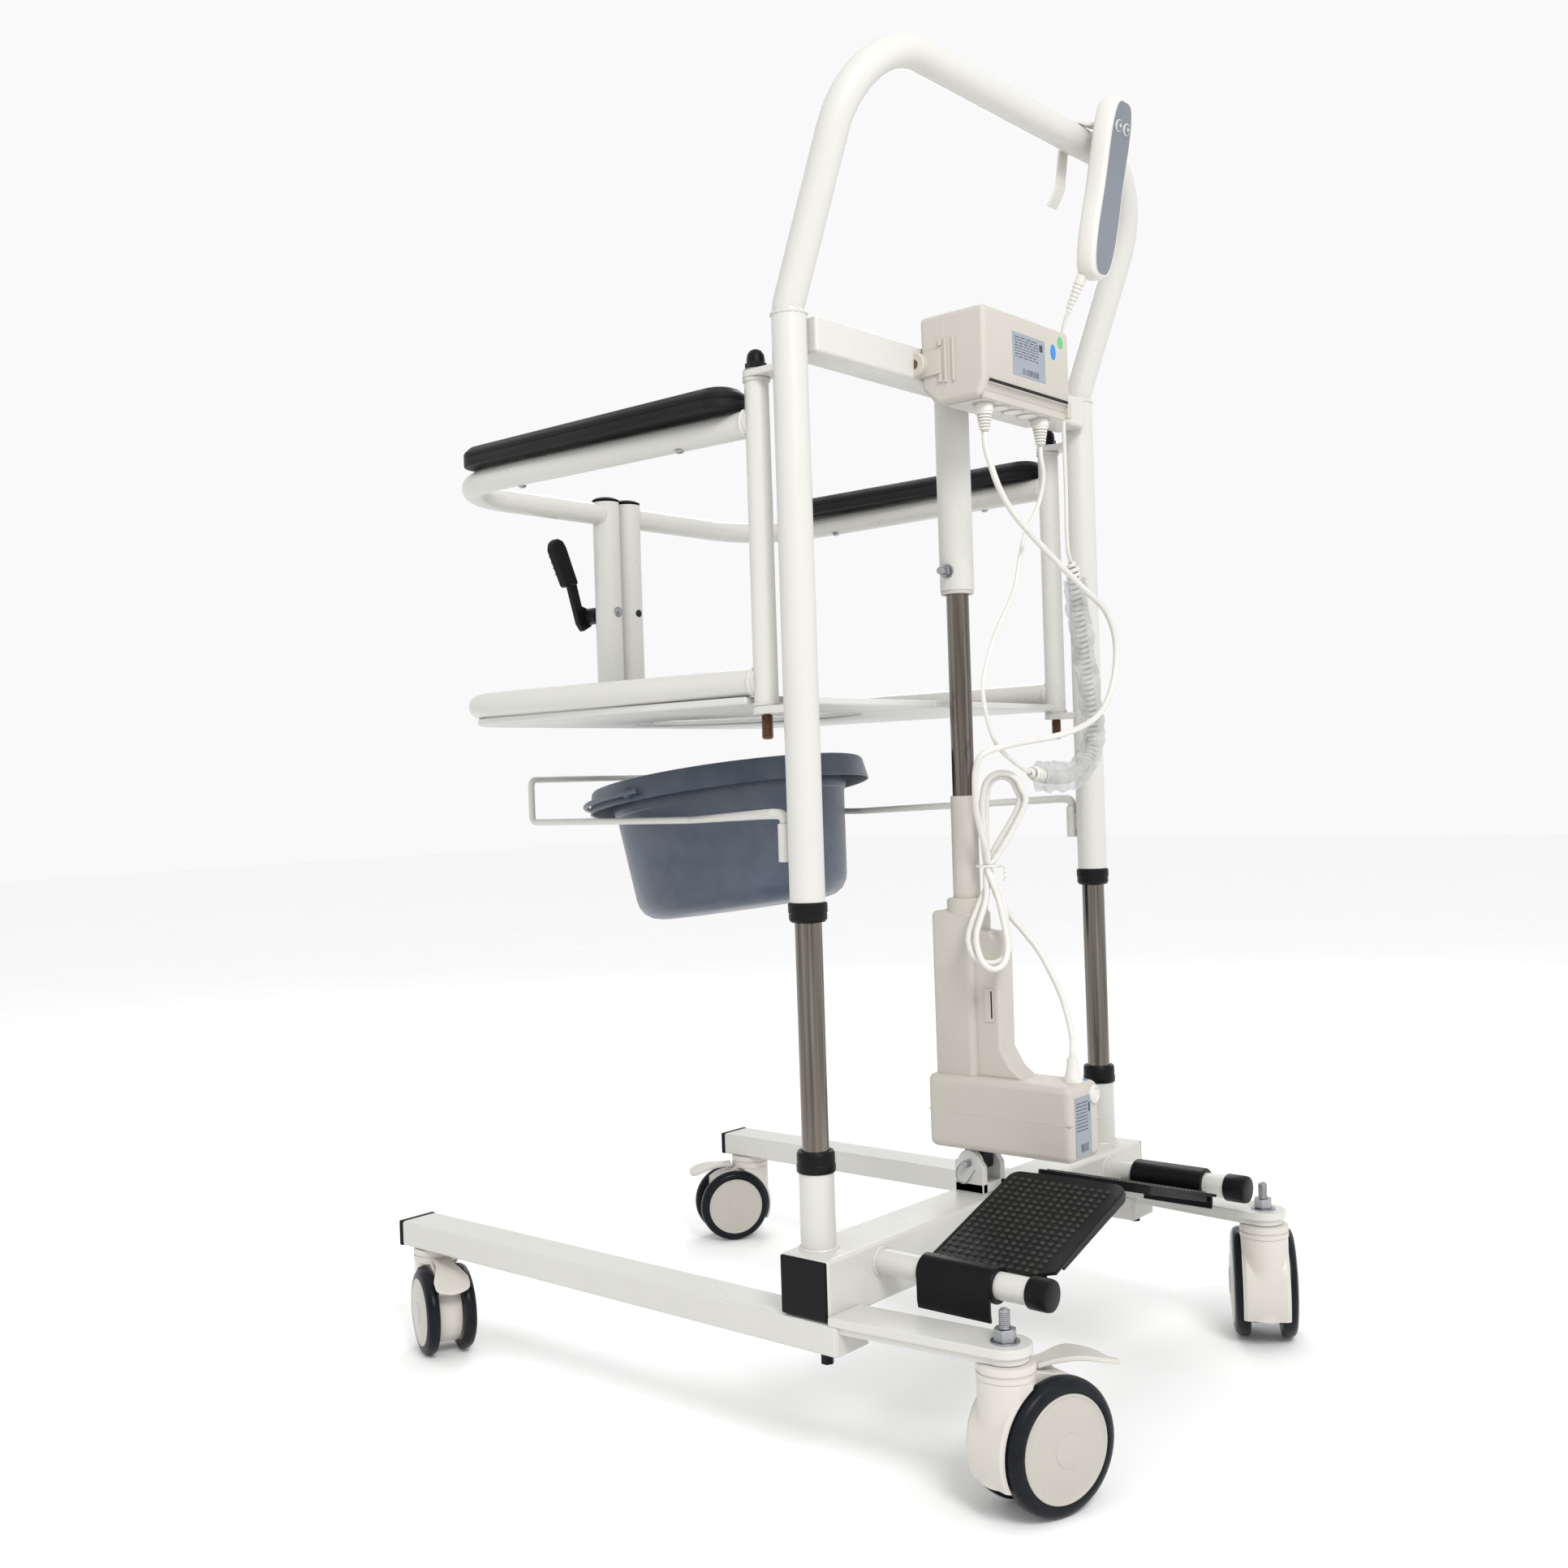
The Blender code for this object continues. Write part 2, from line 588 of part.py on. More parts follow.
def seat_board(side, word, seat):
    """Half of the seat panel, with half of the oval commode opening."""
    outer = RAIL_SIDE_X
    rear = RAIL_REAR_Y + 0.006
    front = 0.045
    corner = arc((outer - 0.100, rear - 0.100), 0.100, 0, 90, 6)
    opening = arc((0.0, 0.0), 1.0, 89, -89, 14)
    opening = [
        (max(BOARD_SPLIT_X, OPENING_HALF_WIDTH * u), OPENING_CENTRE_Y + OPENING_HALF_LENGTH * v)
        for u, v in opening
    ]
    outline = [
        (outer, 0.070),
        *corner,
        (BOARD_SPLIT_X, rear),
        *opening,
        (BOARD_SPLIT_X, front),
        (COLUMN_X - 0.017, front),
        (COLUMN_X - 0.017, 0.070),
    ]
    plate(f"seat_board_{word}", [mirrored(side, outline)], BOARD_BOTTOM, BOARD_TOP, WHITE_BOARD, seat)


def arm_pad(side, word, seat):
    """A firm black arm pad with rounded ends and a bevelled top."""
    low_x, high_x, low_y, high_y, end = 0.257, 0.315, 0.0685, 0.490, 0.028
    outline = [
        *arc((high_x - end, low_y + end), end, -90, 0, 4),
        *arc((high_x - end, high_y - end), end, 0, 90, 4),
        *arc((low_x + end, high_y - end), end, 90, 180, 4),
        *arc((low_x + end, low_y + end), end, 180, 270, 4),
    ]
    pad = plate(f"arm_pad_{word}", [mirrored(side, outline)], 1.0456, 1.0700, BLACK_VINYL, seat)
    bevel(pad, 0.006)


def latch_lever(seat):
    """The handle behind the left post that turns the latch."""
    pivot = joint_empty("latch_axis", (-LATCH_POST_X, 0.580, LATCH_Z), seat)
    pivot.matrix_parent_inverse = Matrix.Translation(-seat.location)
    y = 0.594
    hub = rod("latch_lever", (-LATCH_POST_X, 0.5683, LATCH_Z), (-LATCH_POST_X, 0.602, LATCH_Z), 0.011, BLACK_PLASTIC)
    path = [(-0.019, y, 0.896), (-0.026, y, 0.886), (-0.036, y, 0.908), (-0.044, y, 0.936)]
    path += [(-0.048, y, 0.948), (-0.063, y, 0.990), (-0.066, y, 0.999)]
    radii = [0.9, 0.9, 0.8, 0.8, 1.6, 1.8, 1.2]
    arm = as_mesh(tube("latch_arm", path, 0.008, radii=radii))
    hub.parent = pivot
    hub.matrix_parent_inverse = Matrix.Translation(-pivot.location)
    combine(hub, arm)


# ---- Footplates ----
def footplate(side, word):
    """A folding plate on a sleeve that turns on the footrest tube."""
    axis = joint_empty(f"footplate_axis_{word}", (side * FOOTREST_X, -0.140, FOOTREST_Z))
    x = side * FOOTREST_X
    name = f"footplate_{word}"
    rear_y, front_y = PLATE_SLEEVE_Y[word]
    sleeve_start, sleeve_end = (x, rear_y, FOOTREST_Z), (x, front_y, FOOTREST_Z)
    piece = rod(name, sleeve_start, sleeve_end, 0.0175, BLACK_PLASTIC, axis)
    corner_x = FOOTREST_REACH[word] - 0.012
    outline = [
        *arc((corner_x, -0.090), 0.012, 90, 0, 3),
        *arc((corner_x, -0.194), 0.012, 0, -90, 3),
        (0.030, -0.212),
        (0.012, -0.160),
        (0.012, -0.072),
    ]
    tread = plate(f"{name}_tread", [mirrored(-side, outline)], -0.0095, 0.0)
    tread.location = (x, PLATE_SHIFT_Y[word], TREAD_TOP[word])
    tread.rotation_euler.y = side * FOOTREST_TILT[word]
    skirt_low, skirt_high = sorted((side * 0.2385, side * 0.2440))
    skirt = box(f"{name}_skirt", (skirt_low, front_y - 0.001, 0.158), (skirt_high, rear_y, FOOTREST_Z))
    combine(piece, tread, skirt)
    bore = rod(f"{name}_bore", (x, -0.01, FOOTREST_Z), (x, -0.25, FOOTREST_Z), FOOTREST_TUBE_RADIUS + 0.0006)
    combine(piece, bore, operation="DIFFERENCE")


# ---- Casters ----
def caster(word):
    """A twin-wheel caster: swivelling fork, wheel pair on one axle, and brake pedal."""
    x, y, radius, trail, spacing, width, heading = CASTERS[word]
    frame = local_frame(f"caster_swivel_{word}", (x, y, 0.0), (0.0, 0.0, heading))
    front = word.startswith("front")
    cap_top = 0.1420 if front else LEG_BOTTOM - GAP
    cap_low = cap_top - 0.024
    cap_radius = 0.0275 if front else 0.0265
    web = spacing - width / 2 - 0.0015

    profile = [(0.0, cap_top), (cap_radius - 0.002, cap_top), (cap_radius, cap_top - 0.002)]
    profile += [(cap_radius, cap_low), (cap_radius - 0.003, cap_low - 0.006)]
    profile += [(cap_radius * 0.80, radius * 0.95), (0.010, radius * 0.55), (0.0, radius * 0.55)]
    fork = turned(f"caster_fork_{word}", profile, (0, 0, 0), IVORY_PLASTIC, frame)
    helpers = []
    for hand in (-1, 1):
        inner, outer = hand * web, hand * 0.06
        helpers.append(
            rod(f"{fork.name}_cut_{hand}", (trail, inner, radius), (trail, outer, radius), radius + 0.003,
                pivot=frame, sides=24)
        )  # fmt: skip
    combine(fork, *helpers, operation="DIFFERENCE")
    hub = radius * 0.34
    outline = [
        *arc((trail, radius), hub, -100, 40, 6),
        (cap_radius * 0.90, cap_low),
        (-cap_radius * 0.90, cap_low),
        (-cap_radius * 0.70, radius * 0.80),
    ]
    mid_plate = plate(f"{fork.name}_web", [outline], -web + 0.0005, web - 0.0005, None, frame)
    mid_plate.rotation_euler = (math.pi / 2, 0.0, 0.0)
    mid_plate.location = (0.0, 0.0, 0.0)
    axle_hole = rod(
        f"{fork.name}_axle_hole", (trail, -0.05, radius), (trail, 0.05, radius), 0.0078, pivot=frame, sides=12
    )
    combine(fork, mid_plate)
    combine(fork, axle_hole, operation="DIFFERENCE")

    rim = radius / math.cos(math.pi / WHEEL_STEPS)
    near, far = spacing - width / 2, spacing + width / 2
    side = [(0.012, far - 0.003), (rim * 0.72, far - 0.001), (rim - 0.006, far), (rim, far - 0.005)]
    side += [(rim, near + 0.004), (rim - 0.005, near), (0.0068, near)]
    profile = [(0.0, far - 0.003), *side]
    profile += [(r, -z) for r, z in reversed(profile)]
    wheels = turned(
        f"caster_wheels_{word}", profile, (trail, 0, radius), BLACK_RUBBER, frame, steps=WHEEL_STEPS
    )
    wheels.rotation_euler = (math.pi / 2, math.pi / WHEEL_STEPS, 0.0)

    pedal_z = 2 * radius + 0.0065
    axis = bpy.data.objects.new(f"pedal_axis_{word}", None)
    PARTS.objects.link(axis)
    axis.parent = frame
    axis.location = (cap_radius + 0.006, 0.0, pedal_z)
    axis.rotation_euler.y = PEDAL_DROP.get(word, 0.0)
    LOCAL_FRAMES.add(axis)
    reach = 0.082 if front else 0.062
    outline = [
        *arc((0.000, 0.0), 0.010, 110, 250, 4),
        (reach - 0.030, -0.011),
        *arc((reach - 0.006, -0.016), 0.006, -90, 0, 2),
        *arc((reach - 0.006, 0.016), 0.006, 0, 90, 2),
        (reach - 0.030, 0.011),
    ]
    outline = [(max(u, -0.0045), v) for u, v in outline]
    plate(f"brake_pedal_{word}", [outline], -0.003, 0.003, IVORY_PLASTIC, axis)


# ---- Commode pan ----
def bucket():
    """The pan and its wire bail, tilted on the rack. Both are drawn about the rim's centre."""
    frame = local_frame("bucket_frame", BUCKET_CENTRE, (BUCKET_TILT, 0.0, 0.0))
    rim = BUCKET_RIM_RADIUS
    outside = [(0.168, 0.014), (rim, -0.014), (rim - 0.0025, -0.014), (0.1655, 0.0095), (0.1495, 0.0095)]
    outside += [(0.1465, -0.010), (0.1180 + 0.014, -0.130), (0.1180 + 0.004, -0.146), (0.104, -0.154), (0.0, -0.154)]
    inside = [(0.0, -0.1512), (0.103, -0.1512), (0.119, -0.144), (0.129, -0.129), (0.1435, -0.010), (0.1465, 0.0125)]
    turned("bucket", [*outside, *inside, (0.1495, 0.014)], (0, 0, 0), BLUE_GREY_PLASTIC, frame, steps=24,
           closed=True)  # fmt: skip
    bail_radius = rim + 0.0045
    path = []
    for i in range(25):
        angle = math.radians(-6 + 192 * i / 24)
        path.append((bail_radius * math.cos(angle), bail_radius * math.sin(angle), -0.0035))
    tube("bucket_bail", path, 0.003, BLUE_GREY_PLASTIC, frame, sides=8)


# ---- Handset ----
def handset():
    """The wired handset, its hook over the handle, and its two buttons."""
    frame = local_frame("handset_frame", HANDSET_CENTRE, (HANDSET_TILT, 0.0, 0.0))
    body = box("handset", (-0.026, -0.0125, -0.099), (0.026, 0.0125, 0.099), IVORY_PLASTIC, frame)
    bevel(body, 0.006, 2)
    bar = (HANDLE_TOP_Y, HANDLE_TOP_Z)
    centre_line = [(-0.1215, 1.3985), (-0.1085, 1.3965), *arc(bar, 0.0197, 125, 0, 6), (-0.0660, 1.350), (-0.063, 1.321)]
    hook = ribbon("handset_hook", centre_line, 0.0035, HANDSET_CENTRE[0] - 0.007, HANDSET_CENTRE[0] + 0.007)
    relief = rod("handset_relief", (0.120, -0.094, 1.232), (0.116, -0.0767, 1.193), 0.0062, end_radius=0.0038)
    combine(body, hook, relief)
    for word, x in (("up", -0.012), ("down", 0.012)):
        pocket = rod(f"pocket_{word}", (x, -0.0135, 0.072), (x, -0.0080, 0.072), 0.0066, pivot=frame, sides=12)
        combine(body, pocket, operation="DIFFERENCE")
        rod(f"handset_button_{word}", (x, -0.0140, 0.072), (x, -0.0098, 0.072), 0.0060, IVORY_PLASTIC, frame, 12)


def ribbon(name, centre_line, thickness, low_x, high_x):
    """A flat strip bent along a line in the (y, z) plane, as a helper."""
    points = [Vector(point) for point in centre_line]
    left, right = [], []
    for i, point in enumerate(points):
        along = (points[min(i + 1, len(points) - 1)] - points[max(i - 1, 0)]).normalized()
        across = Vector((-along.y, along.x)) * thickness / 2
        left.append(point + across)
        right.append(point - across)
    return plate(name, [[*left, *reversed(right)]], low_x, high_x, upright=True)


# ---- Cords ----
PLUG_Y = -0.075
PLUG_X = {"motor": -0.061, "handset": 0.050}
MOTOR_CORD_RADIUS = 0.0035
HANDSET_CORD_RADIUS = 0.0024
CURL_RADIUS = 0.0085
HANK_TIE = (-0.004, -0.024, 0.572)
HANK_HEADING = math.radians(-49.5)
HANK_DROOP = math.radians(25)

MOTOR_CABLE_DOWN = [
    (-0.061, -0.075, 1.0315),
    (-0.061, -0.075, 1.0180),
    (-0.056, -0.076, 1.0030),
    (-0.040, -0.077, 0.9750),
    (-0.014, -0.078, 0.9500),
    (0.041, -0.079, 0.9190),
    (0.112, -0.082, 0.8830),
    (0.168, -0.083, 0.8560),
    (0.190, -0.083, 0.8190),
    (0.180, -0.083, 0.7720),
    (0.145, -0.082, 0.7350),
    (0.078, -0.078, 0.7140),
    (-0.020, -0.068, 0.7020),
    (-0.056, -0.057, 0.6930),
    (-0.058, -0.048, 0.6775),
    (-0.052, -0.042, 0.6550),
    (-0.042, -0.036, 0.6320),
    (-0.030, -0.033, 0.6100),
    (-0.019, -0.032, 0.5900),
]
MOTOR_CABLE_FOOT = [
    (0.006, -0.021, 0.5500),
    (0.008, -0.028, 0.5330),
    (0.014, -0.040, 0.5130),
    (0.021, -0.054, 0.4940),
    (0.027, -0.070, 0.4700),
    (0.028, -0.092, 0.4280),
    (0.018, -0.109, 0.3910),
    (0.006, -0.117, 0.3760),
    (0.005, -0.117, 0.3664),
]
HANDSET_CORD_DOWN = [
    (0.1159, -0.0762, 1.1918),
    (0.1180, -0.0680, 1.1720),
    (0.1240, -0.0620, 1.1200),
    (0.1290, -0.0585, 1.0760),
    (0.1290, -0.0590, 1.0000),
    (0.126, -0.0600, 0.9500),
    (0.127, -0.0600, 0.9250),
]
CURL_ROUTE = [
    (0.134, -0.060, 0.9130),
    (0.143, -0.060, 0.8750),
    (0.152, -0.060, 0.8310),
    (0.164, -0.060, 0.7700),
    (0.171, -0.060, 0.7250),
    (0.165, -0.060, 0.6950),
    (0.140, -0.060, 0.6740),
    (0.105, -0.060, 0.6660),
    (0.070, -0.060, 0.6660),
    (0.030, -0.060, 0.6720),
]
HANDSET_CORD_UP = [
    (0.0215, -0.060, 0.6740),
    (-0.005, -0.060, 0.6850),
    (-0.030, -0.059, 0.7000),
    (-0.045, -0.058, 0.7230),
    (-0.055, -0.058, 0.7560),
    (-0.050, -0.058, 0.7800),
    (-0.028, -0.058, 0.8200),
    (0.012, -0.058, 0.8700),
    (0.024, -0.058, 0.9000),
    (0.036, -0.060, 0.9350),
    (0.052, -0.067, 0.9650),
    (0.056, -0.074, 0.9980),
    (0.050, -0.075, 1.0200),
    (0.050, -0.075, 1.0315),
]


def cords(lift):
    """The two cables: plain tubes, the tied hank on the actuator and the curly stretch."""
    spacing = 0.018
    down = flow(MOTOR_CABLE_DOWN, spacing)
    tube("motor_cable_upper", down, MOTOR_CORD_RADIUS, CORD_PLASTIC, lift, sides=8)
    tie = local_frame("hank_tie", HANK_TIE, (0.0, 0.0, HANK_HEADING))
    upper = [*arc((0.018, 0.081), 0.024, 0, 180, 8), (-0.010, -0.003), (0.010, -0.003)]
    lower = [*arc((-0.006, -0.097), 0.031, 180, 360, 8), (0.010, 0.003), (-0.010, 0.003)]
    hank = plate("motor_cable_hank", [upper], -0.0075, 0.0075, CORD_PLASTIC, tie)
    drooping = plate("hank_lower_loops", [lower], -0.0075, 0.0075, None, tie)
    hank.rotation_euler = (math.pi / 2, 0.0, 0.0)
    drooping.rotation_euler = (math.pi / 2 - HANK_DROOP, 0.0, 0.0)
    combine(hank, drooping)
    tube("motor_cable_foot", flow(MOTOR_CABLE_FOOT, spacing), MOTOR_CORD_RADIUS, CORD_PLASTIC, sides=8)
    wire = HANDSET_CORD_RADIUS
    tube("handset_cord_down", flow(HANDSET_CORD_DOWN, 0.014), wire, CORD_PLASTIC, lift, sides=8)
    tube("handset_cord_curl", flow(CURL_ROUTE, 0.024), CURL_RADIUS, CORD_PLASTIC, lift, sides=8)
    tube("handset_cord_up", flow(HANDSET_CORD_UP, 0.014), wire, CORD_PLASTIC, lift, sides=8)


# ---- Assembly ----
LIFT = joint_empty("lift_axis", (0.0, COLUMN_Y, BEAM_TOP))
crossbeam()
clevis()
actuator_housing()
motor_cover()
crossbar(LIFT)
handle(LIFT)
actuator_rod(LIFT)
control_box(LIFT)
bucket_rack(LIFT)
for plug_word, plug_x in PLUG_X.items():
    plug(f"plug_{plug_word}", plug_x, LIFT)
for hand, hand_word in SIDES:
    leg(hand, hand_word)
    column_foot(hand, hand_word)
    footrest_tube(hand, hand_word)
    outer_column(hand, hand_word, LIFT)
    hinge_bolt(hand, hand_word, LIFT)
    seat_axis = joint_empty(f"seat_axis_{hand_word}", (hand * COLUMN_X, HINGE_Y, 0.9))
    seat_frame(hand, hand_word, seat_axis)
    seat_board(hand, hand_word, seat_axis)
    arm_pad(hand, hand_word, seat_axis)
    if hand < 0:
        latch_lever(seat_axis)
    footplate(hand, hand_word)
for caster_word in CASTERS:
    caster(caster_word)
bucket()
handset()
cords(LIFT)
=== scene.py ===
"""Looks of the patient lift hoist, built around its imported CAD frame.

Units are metres. Every piece is drawn in the chassis frame of part.py (x = 0 the plane of symmetry,
y = 0 the middle of the crossbeam, z = 0 the floor, -Y the front) and then set down at CHASSIS.
"""

import json
import math
import random

import bmesh
import bpy
from mathutils import Matrix, Vector

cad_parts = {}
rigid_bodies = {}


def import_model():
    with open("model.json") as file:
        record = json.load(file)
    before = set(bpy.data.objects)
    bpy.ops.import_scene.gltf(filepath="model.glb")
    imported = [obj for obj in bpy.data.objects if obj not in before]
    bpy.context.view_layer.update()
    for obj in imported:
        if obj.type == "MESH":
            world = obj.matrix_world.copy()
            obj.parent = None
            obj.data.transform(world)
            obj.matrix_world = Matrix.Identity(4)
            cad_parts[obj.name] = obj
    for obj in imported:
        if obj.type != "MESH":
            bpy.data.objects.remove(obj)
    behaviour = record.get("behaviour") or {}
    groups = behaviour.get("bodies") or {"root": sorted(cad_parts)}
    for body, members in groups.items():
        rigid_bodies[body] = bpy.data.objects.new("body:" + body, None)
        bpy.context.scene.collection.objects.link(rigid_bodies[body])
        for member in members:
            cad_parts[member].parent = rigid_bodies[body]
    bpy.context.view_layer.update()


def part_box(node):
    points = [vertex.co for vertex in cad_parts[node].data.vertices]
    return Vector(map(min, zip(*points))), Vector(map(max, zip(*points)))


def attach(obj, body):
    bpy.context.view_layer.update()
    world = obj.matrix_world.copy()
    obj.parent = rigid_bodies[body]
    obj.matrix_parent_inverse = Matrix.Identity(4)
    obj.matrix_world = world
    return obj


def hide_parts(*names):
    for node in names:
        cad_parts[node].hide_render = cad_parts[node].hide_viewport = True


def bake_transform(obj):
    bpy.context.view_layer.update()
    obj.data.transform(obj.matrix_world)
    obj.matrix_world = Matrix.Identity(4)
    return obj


for old in list(bpy.data.objects):
    bpy.data.objects.remove(old)
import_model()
beam_low, beam_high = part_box("crossbeam")
CHASSIS = Vector(((beam_low.x + beam_high.x) / 2, (beam_low.y + beam_high.y) / 2, 0))
SCENE = bpy.context.scene.collection
SIDES = ((-1, "left"), (1, "right"))
LETTERED = ((-1, "l"), (1, "r"))
DICE = random.Random(7)

# ---- Driving dimensions, as in part.py ----
BEAM_TOP, BEAM_FRONT = 0.2103, -0.0303
COLUMN_X, COLUMN_Y = 0.278, 0.008
GUIDE_RADIUS, COLUMN_RADIUS = 0.0135, 0.0176
LEG_X, LEG_HALF_WIDTH = 0.29, 0.025
HINGE_Y = 0.053
RAIL_SIDE_X, RAIL_REAR_Y, RAIL_RADIUS = 0.291, 0.55, 0.014
ARM_RAIL_Z, SEAT_RAIL_Z = 1.031, 0.771
LATCH_POST_X, LATCH_Z = 0.019, 0.9
CROSSBAR_TOP = 1.1297
HANDLE_TOP_Y, HANDLE_TOP_Z, HANDLE_RADIUS = -0.09, 1.386, 0.0165
ROD_RADIUS, DROP_BOLT_Z = 0.0125, 0.897
FOOTREST_X, FOOTREST_Z = 0.226, 0.19
FOOTREST_TILT = {"left": math.radians(18.0), "right": math.radians(15.4)}
FOOTREST_REACH = {"left": 0.192, "right": 0.2}
FOOTREST_CAP_Y = {"left": (-0.204, -0.2262), "right": (-0.184, -0.2092)}
PLATE_SLEEVE_Y = {"left": (-0.083, -0.169), "right": (-0.068, -0.158)}
PLATE_SHIFT_Y = {"left": 0.0, "right": 0.024}
TREAD_TOP = {"left": 0.191, "right": 0.18}
BUCKET_CENTRE = Vector((0.0, 0.363, 0.6665))
BUCKET_TILT = math.radians(-8.0)
HANDSET_CENTRE = Vector((0.129, -0.1195, 1.3245))
HANDSET_TILT = math.radians(11.2)
PLUG_X, PLUG_Y = {"motor": -0.061, "handset": 0.05}, -0.075
# x, y, wheel radius, trail, half the wheels' spacing, wheel width and heading of each caster
CASTERS = {
    "front_left": (-0.274, -0.204, 0.0625, 0.038, 0.0285, 0.022, math.radians(-17)),
    "front_right": (0.274, -0.204, 0.0625, 0.038, 0.0285, 0.022, math.radians(28)),
    "rear_left": (-0.288, 0.608, 0.05, 0.03, 0.024, 0.018, math.radians(-113.5)),
    "rear_right": (0.288, 0.608, 0.05, 0.03, 0.024, 0.018, math.radians(145)),
}
PEDAL_DROP = {"rear_left": math.radians(14)}

FACE_FRONT = Matrix.Rotation(math.pi / 2, 4, "X")  # turns +Z to the front, -Y
FACE_RIGHT = Matrix.Rotation(math.pi / 2, 4, "Y")  # turns +Z to +X
STAND_UP = Matrix(((1, 0, 0, 0), (0, 0, 1, 0), (0, 1, 0, 0), (0, 0, 0, 1)))  # swaps Y and Z


# ---- Materials ----
def shade(name, colour, roughness, metallic=0.0, spread=0.04, spots=7.0, grain=900.0, bump=0.02,
          rough_spread=0.08, stretch=(1.0, 1.0, 1.0), dirt=None, dirt_share=0.0, **sockets):
    """A surface with slow colour drift, faint dirt and a fine bump, all from noise in object space."""
    made = bpy.data.materials.new(name)
    made.use_nodes = True
    tree = made.node_tree
    shader = tree.nodes["Principled BSDF"]
    shader.inputs["Metallic"].default_value = metallic
    for socket, value in sockets.items():
        shader.inputs[socket.replace("_", " ")].default_value = value
    link = tree.links.new
    place = tree.nodes.new("ShaderNodeTexCoord")
    mapping = tree.nodes.new("ShaderNodeMapping")
    mapping.inputs["Scale"].default_value = stretch
    link(place.outputs["Object"], mapping.inputs["Vector"])

    def noise(scale, detail):
        node = tree.nodes.new("ShaderNodeTexNoise")
        node.inputs["Scale"].default_value = scale
        node.inputs["Detail"].default_value = detail
        link(mapping.outputs["Vector"], node.inputs["Vector"])
        return node.outputs["Fac"]

    def ramp(source, low, high):
        node = tree.nodes.new("ShaderNodeMapRange")
        limits = {"From Min": 0.3, "From Max": 0.7, "To Min": low, "To Max": high}
        for socket, value in limits.items():
            node.inputs[socket].default_value = value
        link(source, node.inputs["Value"])
        return node.outputs["Result"]

    def mixed(factor, first, second):
        """A colour between two others, each a colour or another node's output."""
        node = tree.nodes.new("ShaderNodeMix")
        node.data_type = "RGBA"
        link(factor, node.inputs["Factor"])
        for socket, given in (("A", first), ("B", second)):
            if isinstance(given, bpy.types.NodeSocket):
                link(given, node.inputs[socket])
            else:
                node.inputs[socket].default_value = (*given, 1)
        return node.outputs["Result"]

    darker = [c * (1 - spread) for c in colour]
    lighter = [min(1, c * (1 + spread)) for c in colour]
    result = mixed(ramp(noise(spots, 3), 0.0, 1.0), darker, lighter)
    if dirt:
        result = mixed(ramp(noise(spots * 4.3, 5), 0.0, dirt_share), result, dirt)
    link(result, shader.inputs["Base Color"])
    dull = ramp(noise(spots * 2.1, 4), roughness - rough_spread, roughness + rough_spread)
    link(dull, shader.inputs["Roughness"])
    lift = tree.nodes.new("ShaderNodeBump")
    lift.inputs["Strength"].default_value = 0.6
    lift.inputs["Distance"].default_value = bump / 100
    link(noise(grain, 2), lift.inputs["Height"])
    link(lift.outputs["Normal"], shader.inputs["Normal"])
    return made


# Each finish is a material and the name of a slot.
DUST = (0.52, 0.47, 0.38)
WHITE = (shade("powder_coat", (0.585, 0.58, 0.545), 0.3, spread=0.02, grain=520, dirt=DUST,
               dirt_share=0.05), "white_coat")
# Lift rod and guide tubes: a dark brown-grey chrome with strong streaks stretched along the rod. These are
# painted reflection bands standing in for the dark surroundings and the highlights that the chrome would
# reflect.
ROD = (shade("rod_chrome", (0.19, 0.168, 0.145), 0.17, 1.0, spread=0.55, spots=26, stretch=(9, 9, 0.12),
             grain=60, bump=0.015, rough_spread=0.08), "chrome")
ZINC = (shade("zinc", (0.36, 0.37, 0.39), 0.3, 1.0, spread=0.05, spots=60, rough_spread=0.05), "zinc")
BRACKET = (shade("bracket_paint", (0.56, 0.555, 0.53), 0.34, grain=520), "zinc")
COPPER = (shade("oiled_thread", (0.16, 0.08, 0.05), 0.35, 0.8, spread=0.3, spots=80), "zinc")
BLACK = (shade("black_moulding", (0.006, 0.006, 0.0065), 0.34, grain=1400, bump=0.03, spread=0.2,
               Specular_IOR_Level=0.13), "black_plastic")
STUD = (shade("tread_studs", (0.04, 0.038, 0.034), 0.35, spread=0.4, spots=60), "black_plastic")
# Near-black painted shade for gaps, slots and holes: the lid seam, the nose slots and the latch hole.
GAP_SHADE = (shade("dark_gap", (0.004, 0.004, 0.004), 0.8, spread=0.1), "black_plastic")
PRINT = (shade("print", (0.03, 0.035, 0.05), 0.5), "black_plastic")
TYRE = (shade("tyre", (0.006, 0.007, 0.011), 0.3, grain=500, spread=0.25, dirt=(0.05, 0.05, 0.05),
              dirt_share=0.15, Specular_IOR_Level=0.12), "tyre")
PALE = (shade("pale_housing", (0.5, 0.475, 0.425), 0.48, spread=0.03, grain=1600, bump=0.03, dirt=DUST,
              dirt_share=0.14), "pale_plastic")
LABEL = (shade("label", (0.27, 0.3, 0.35), 0.4, spread=0.03), "pale_plastic")
BLUE = (shade("blue_dot", (0.01, 0.2, 0.6), 0.4, spread=0.08), "pale_plastic")
GREEN = (shade("green_dot", (0.1, 0.42, 0.14), 0.45, spread=0.1), "pale_plastic")
GREY_DISC = (shade("wheel_cover", (0.56, 0.55, 0.52), 0.38, dirt=DUST, dirt_share=0.12), "ivory_plastic")
DISC = (shade("wheel_disc", (0.45, 0.43, 0.385), 0.3, dirt=DUST, dirt_share=0.15, grain=1500),
        "ivory_plastic")
IVORY = (shade("ivory_moulding", (0.6, 0.575, 0.525), 0.36, dirt=DUST, dirt_share=0.12, grain=1300),
         "ivory_plastic")
PORCELAIN = (shade("handset_shell", (0.66, 0.645, 0.6), 0.33, grain=1500), "ivory_plastic")
KEYPAD = (shade("keypad", (0.17, 0.19, 0.22), 0.45, spread=0.08, grain=1200), "ivory_plastic")
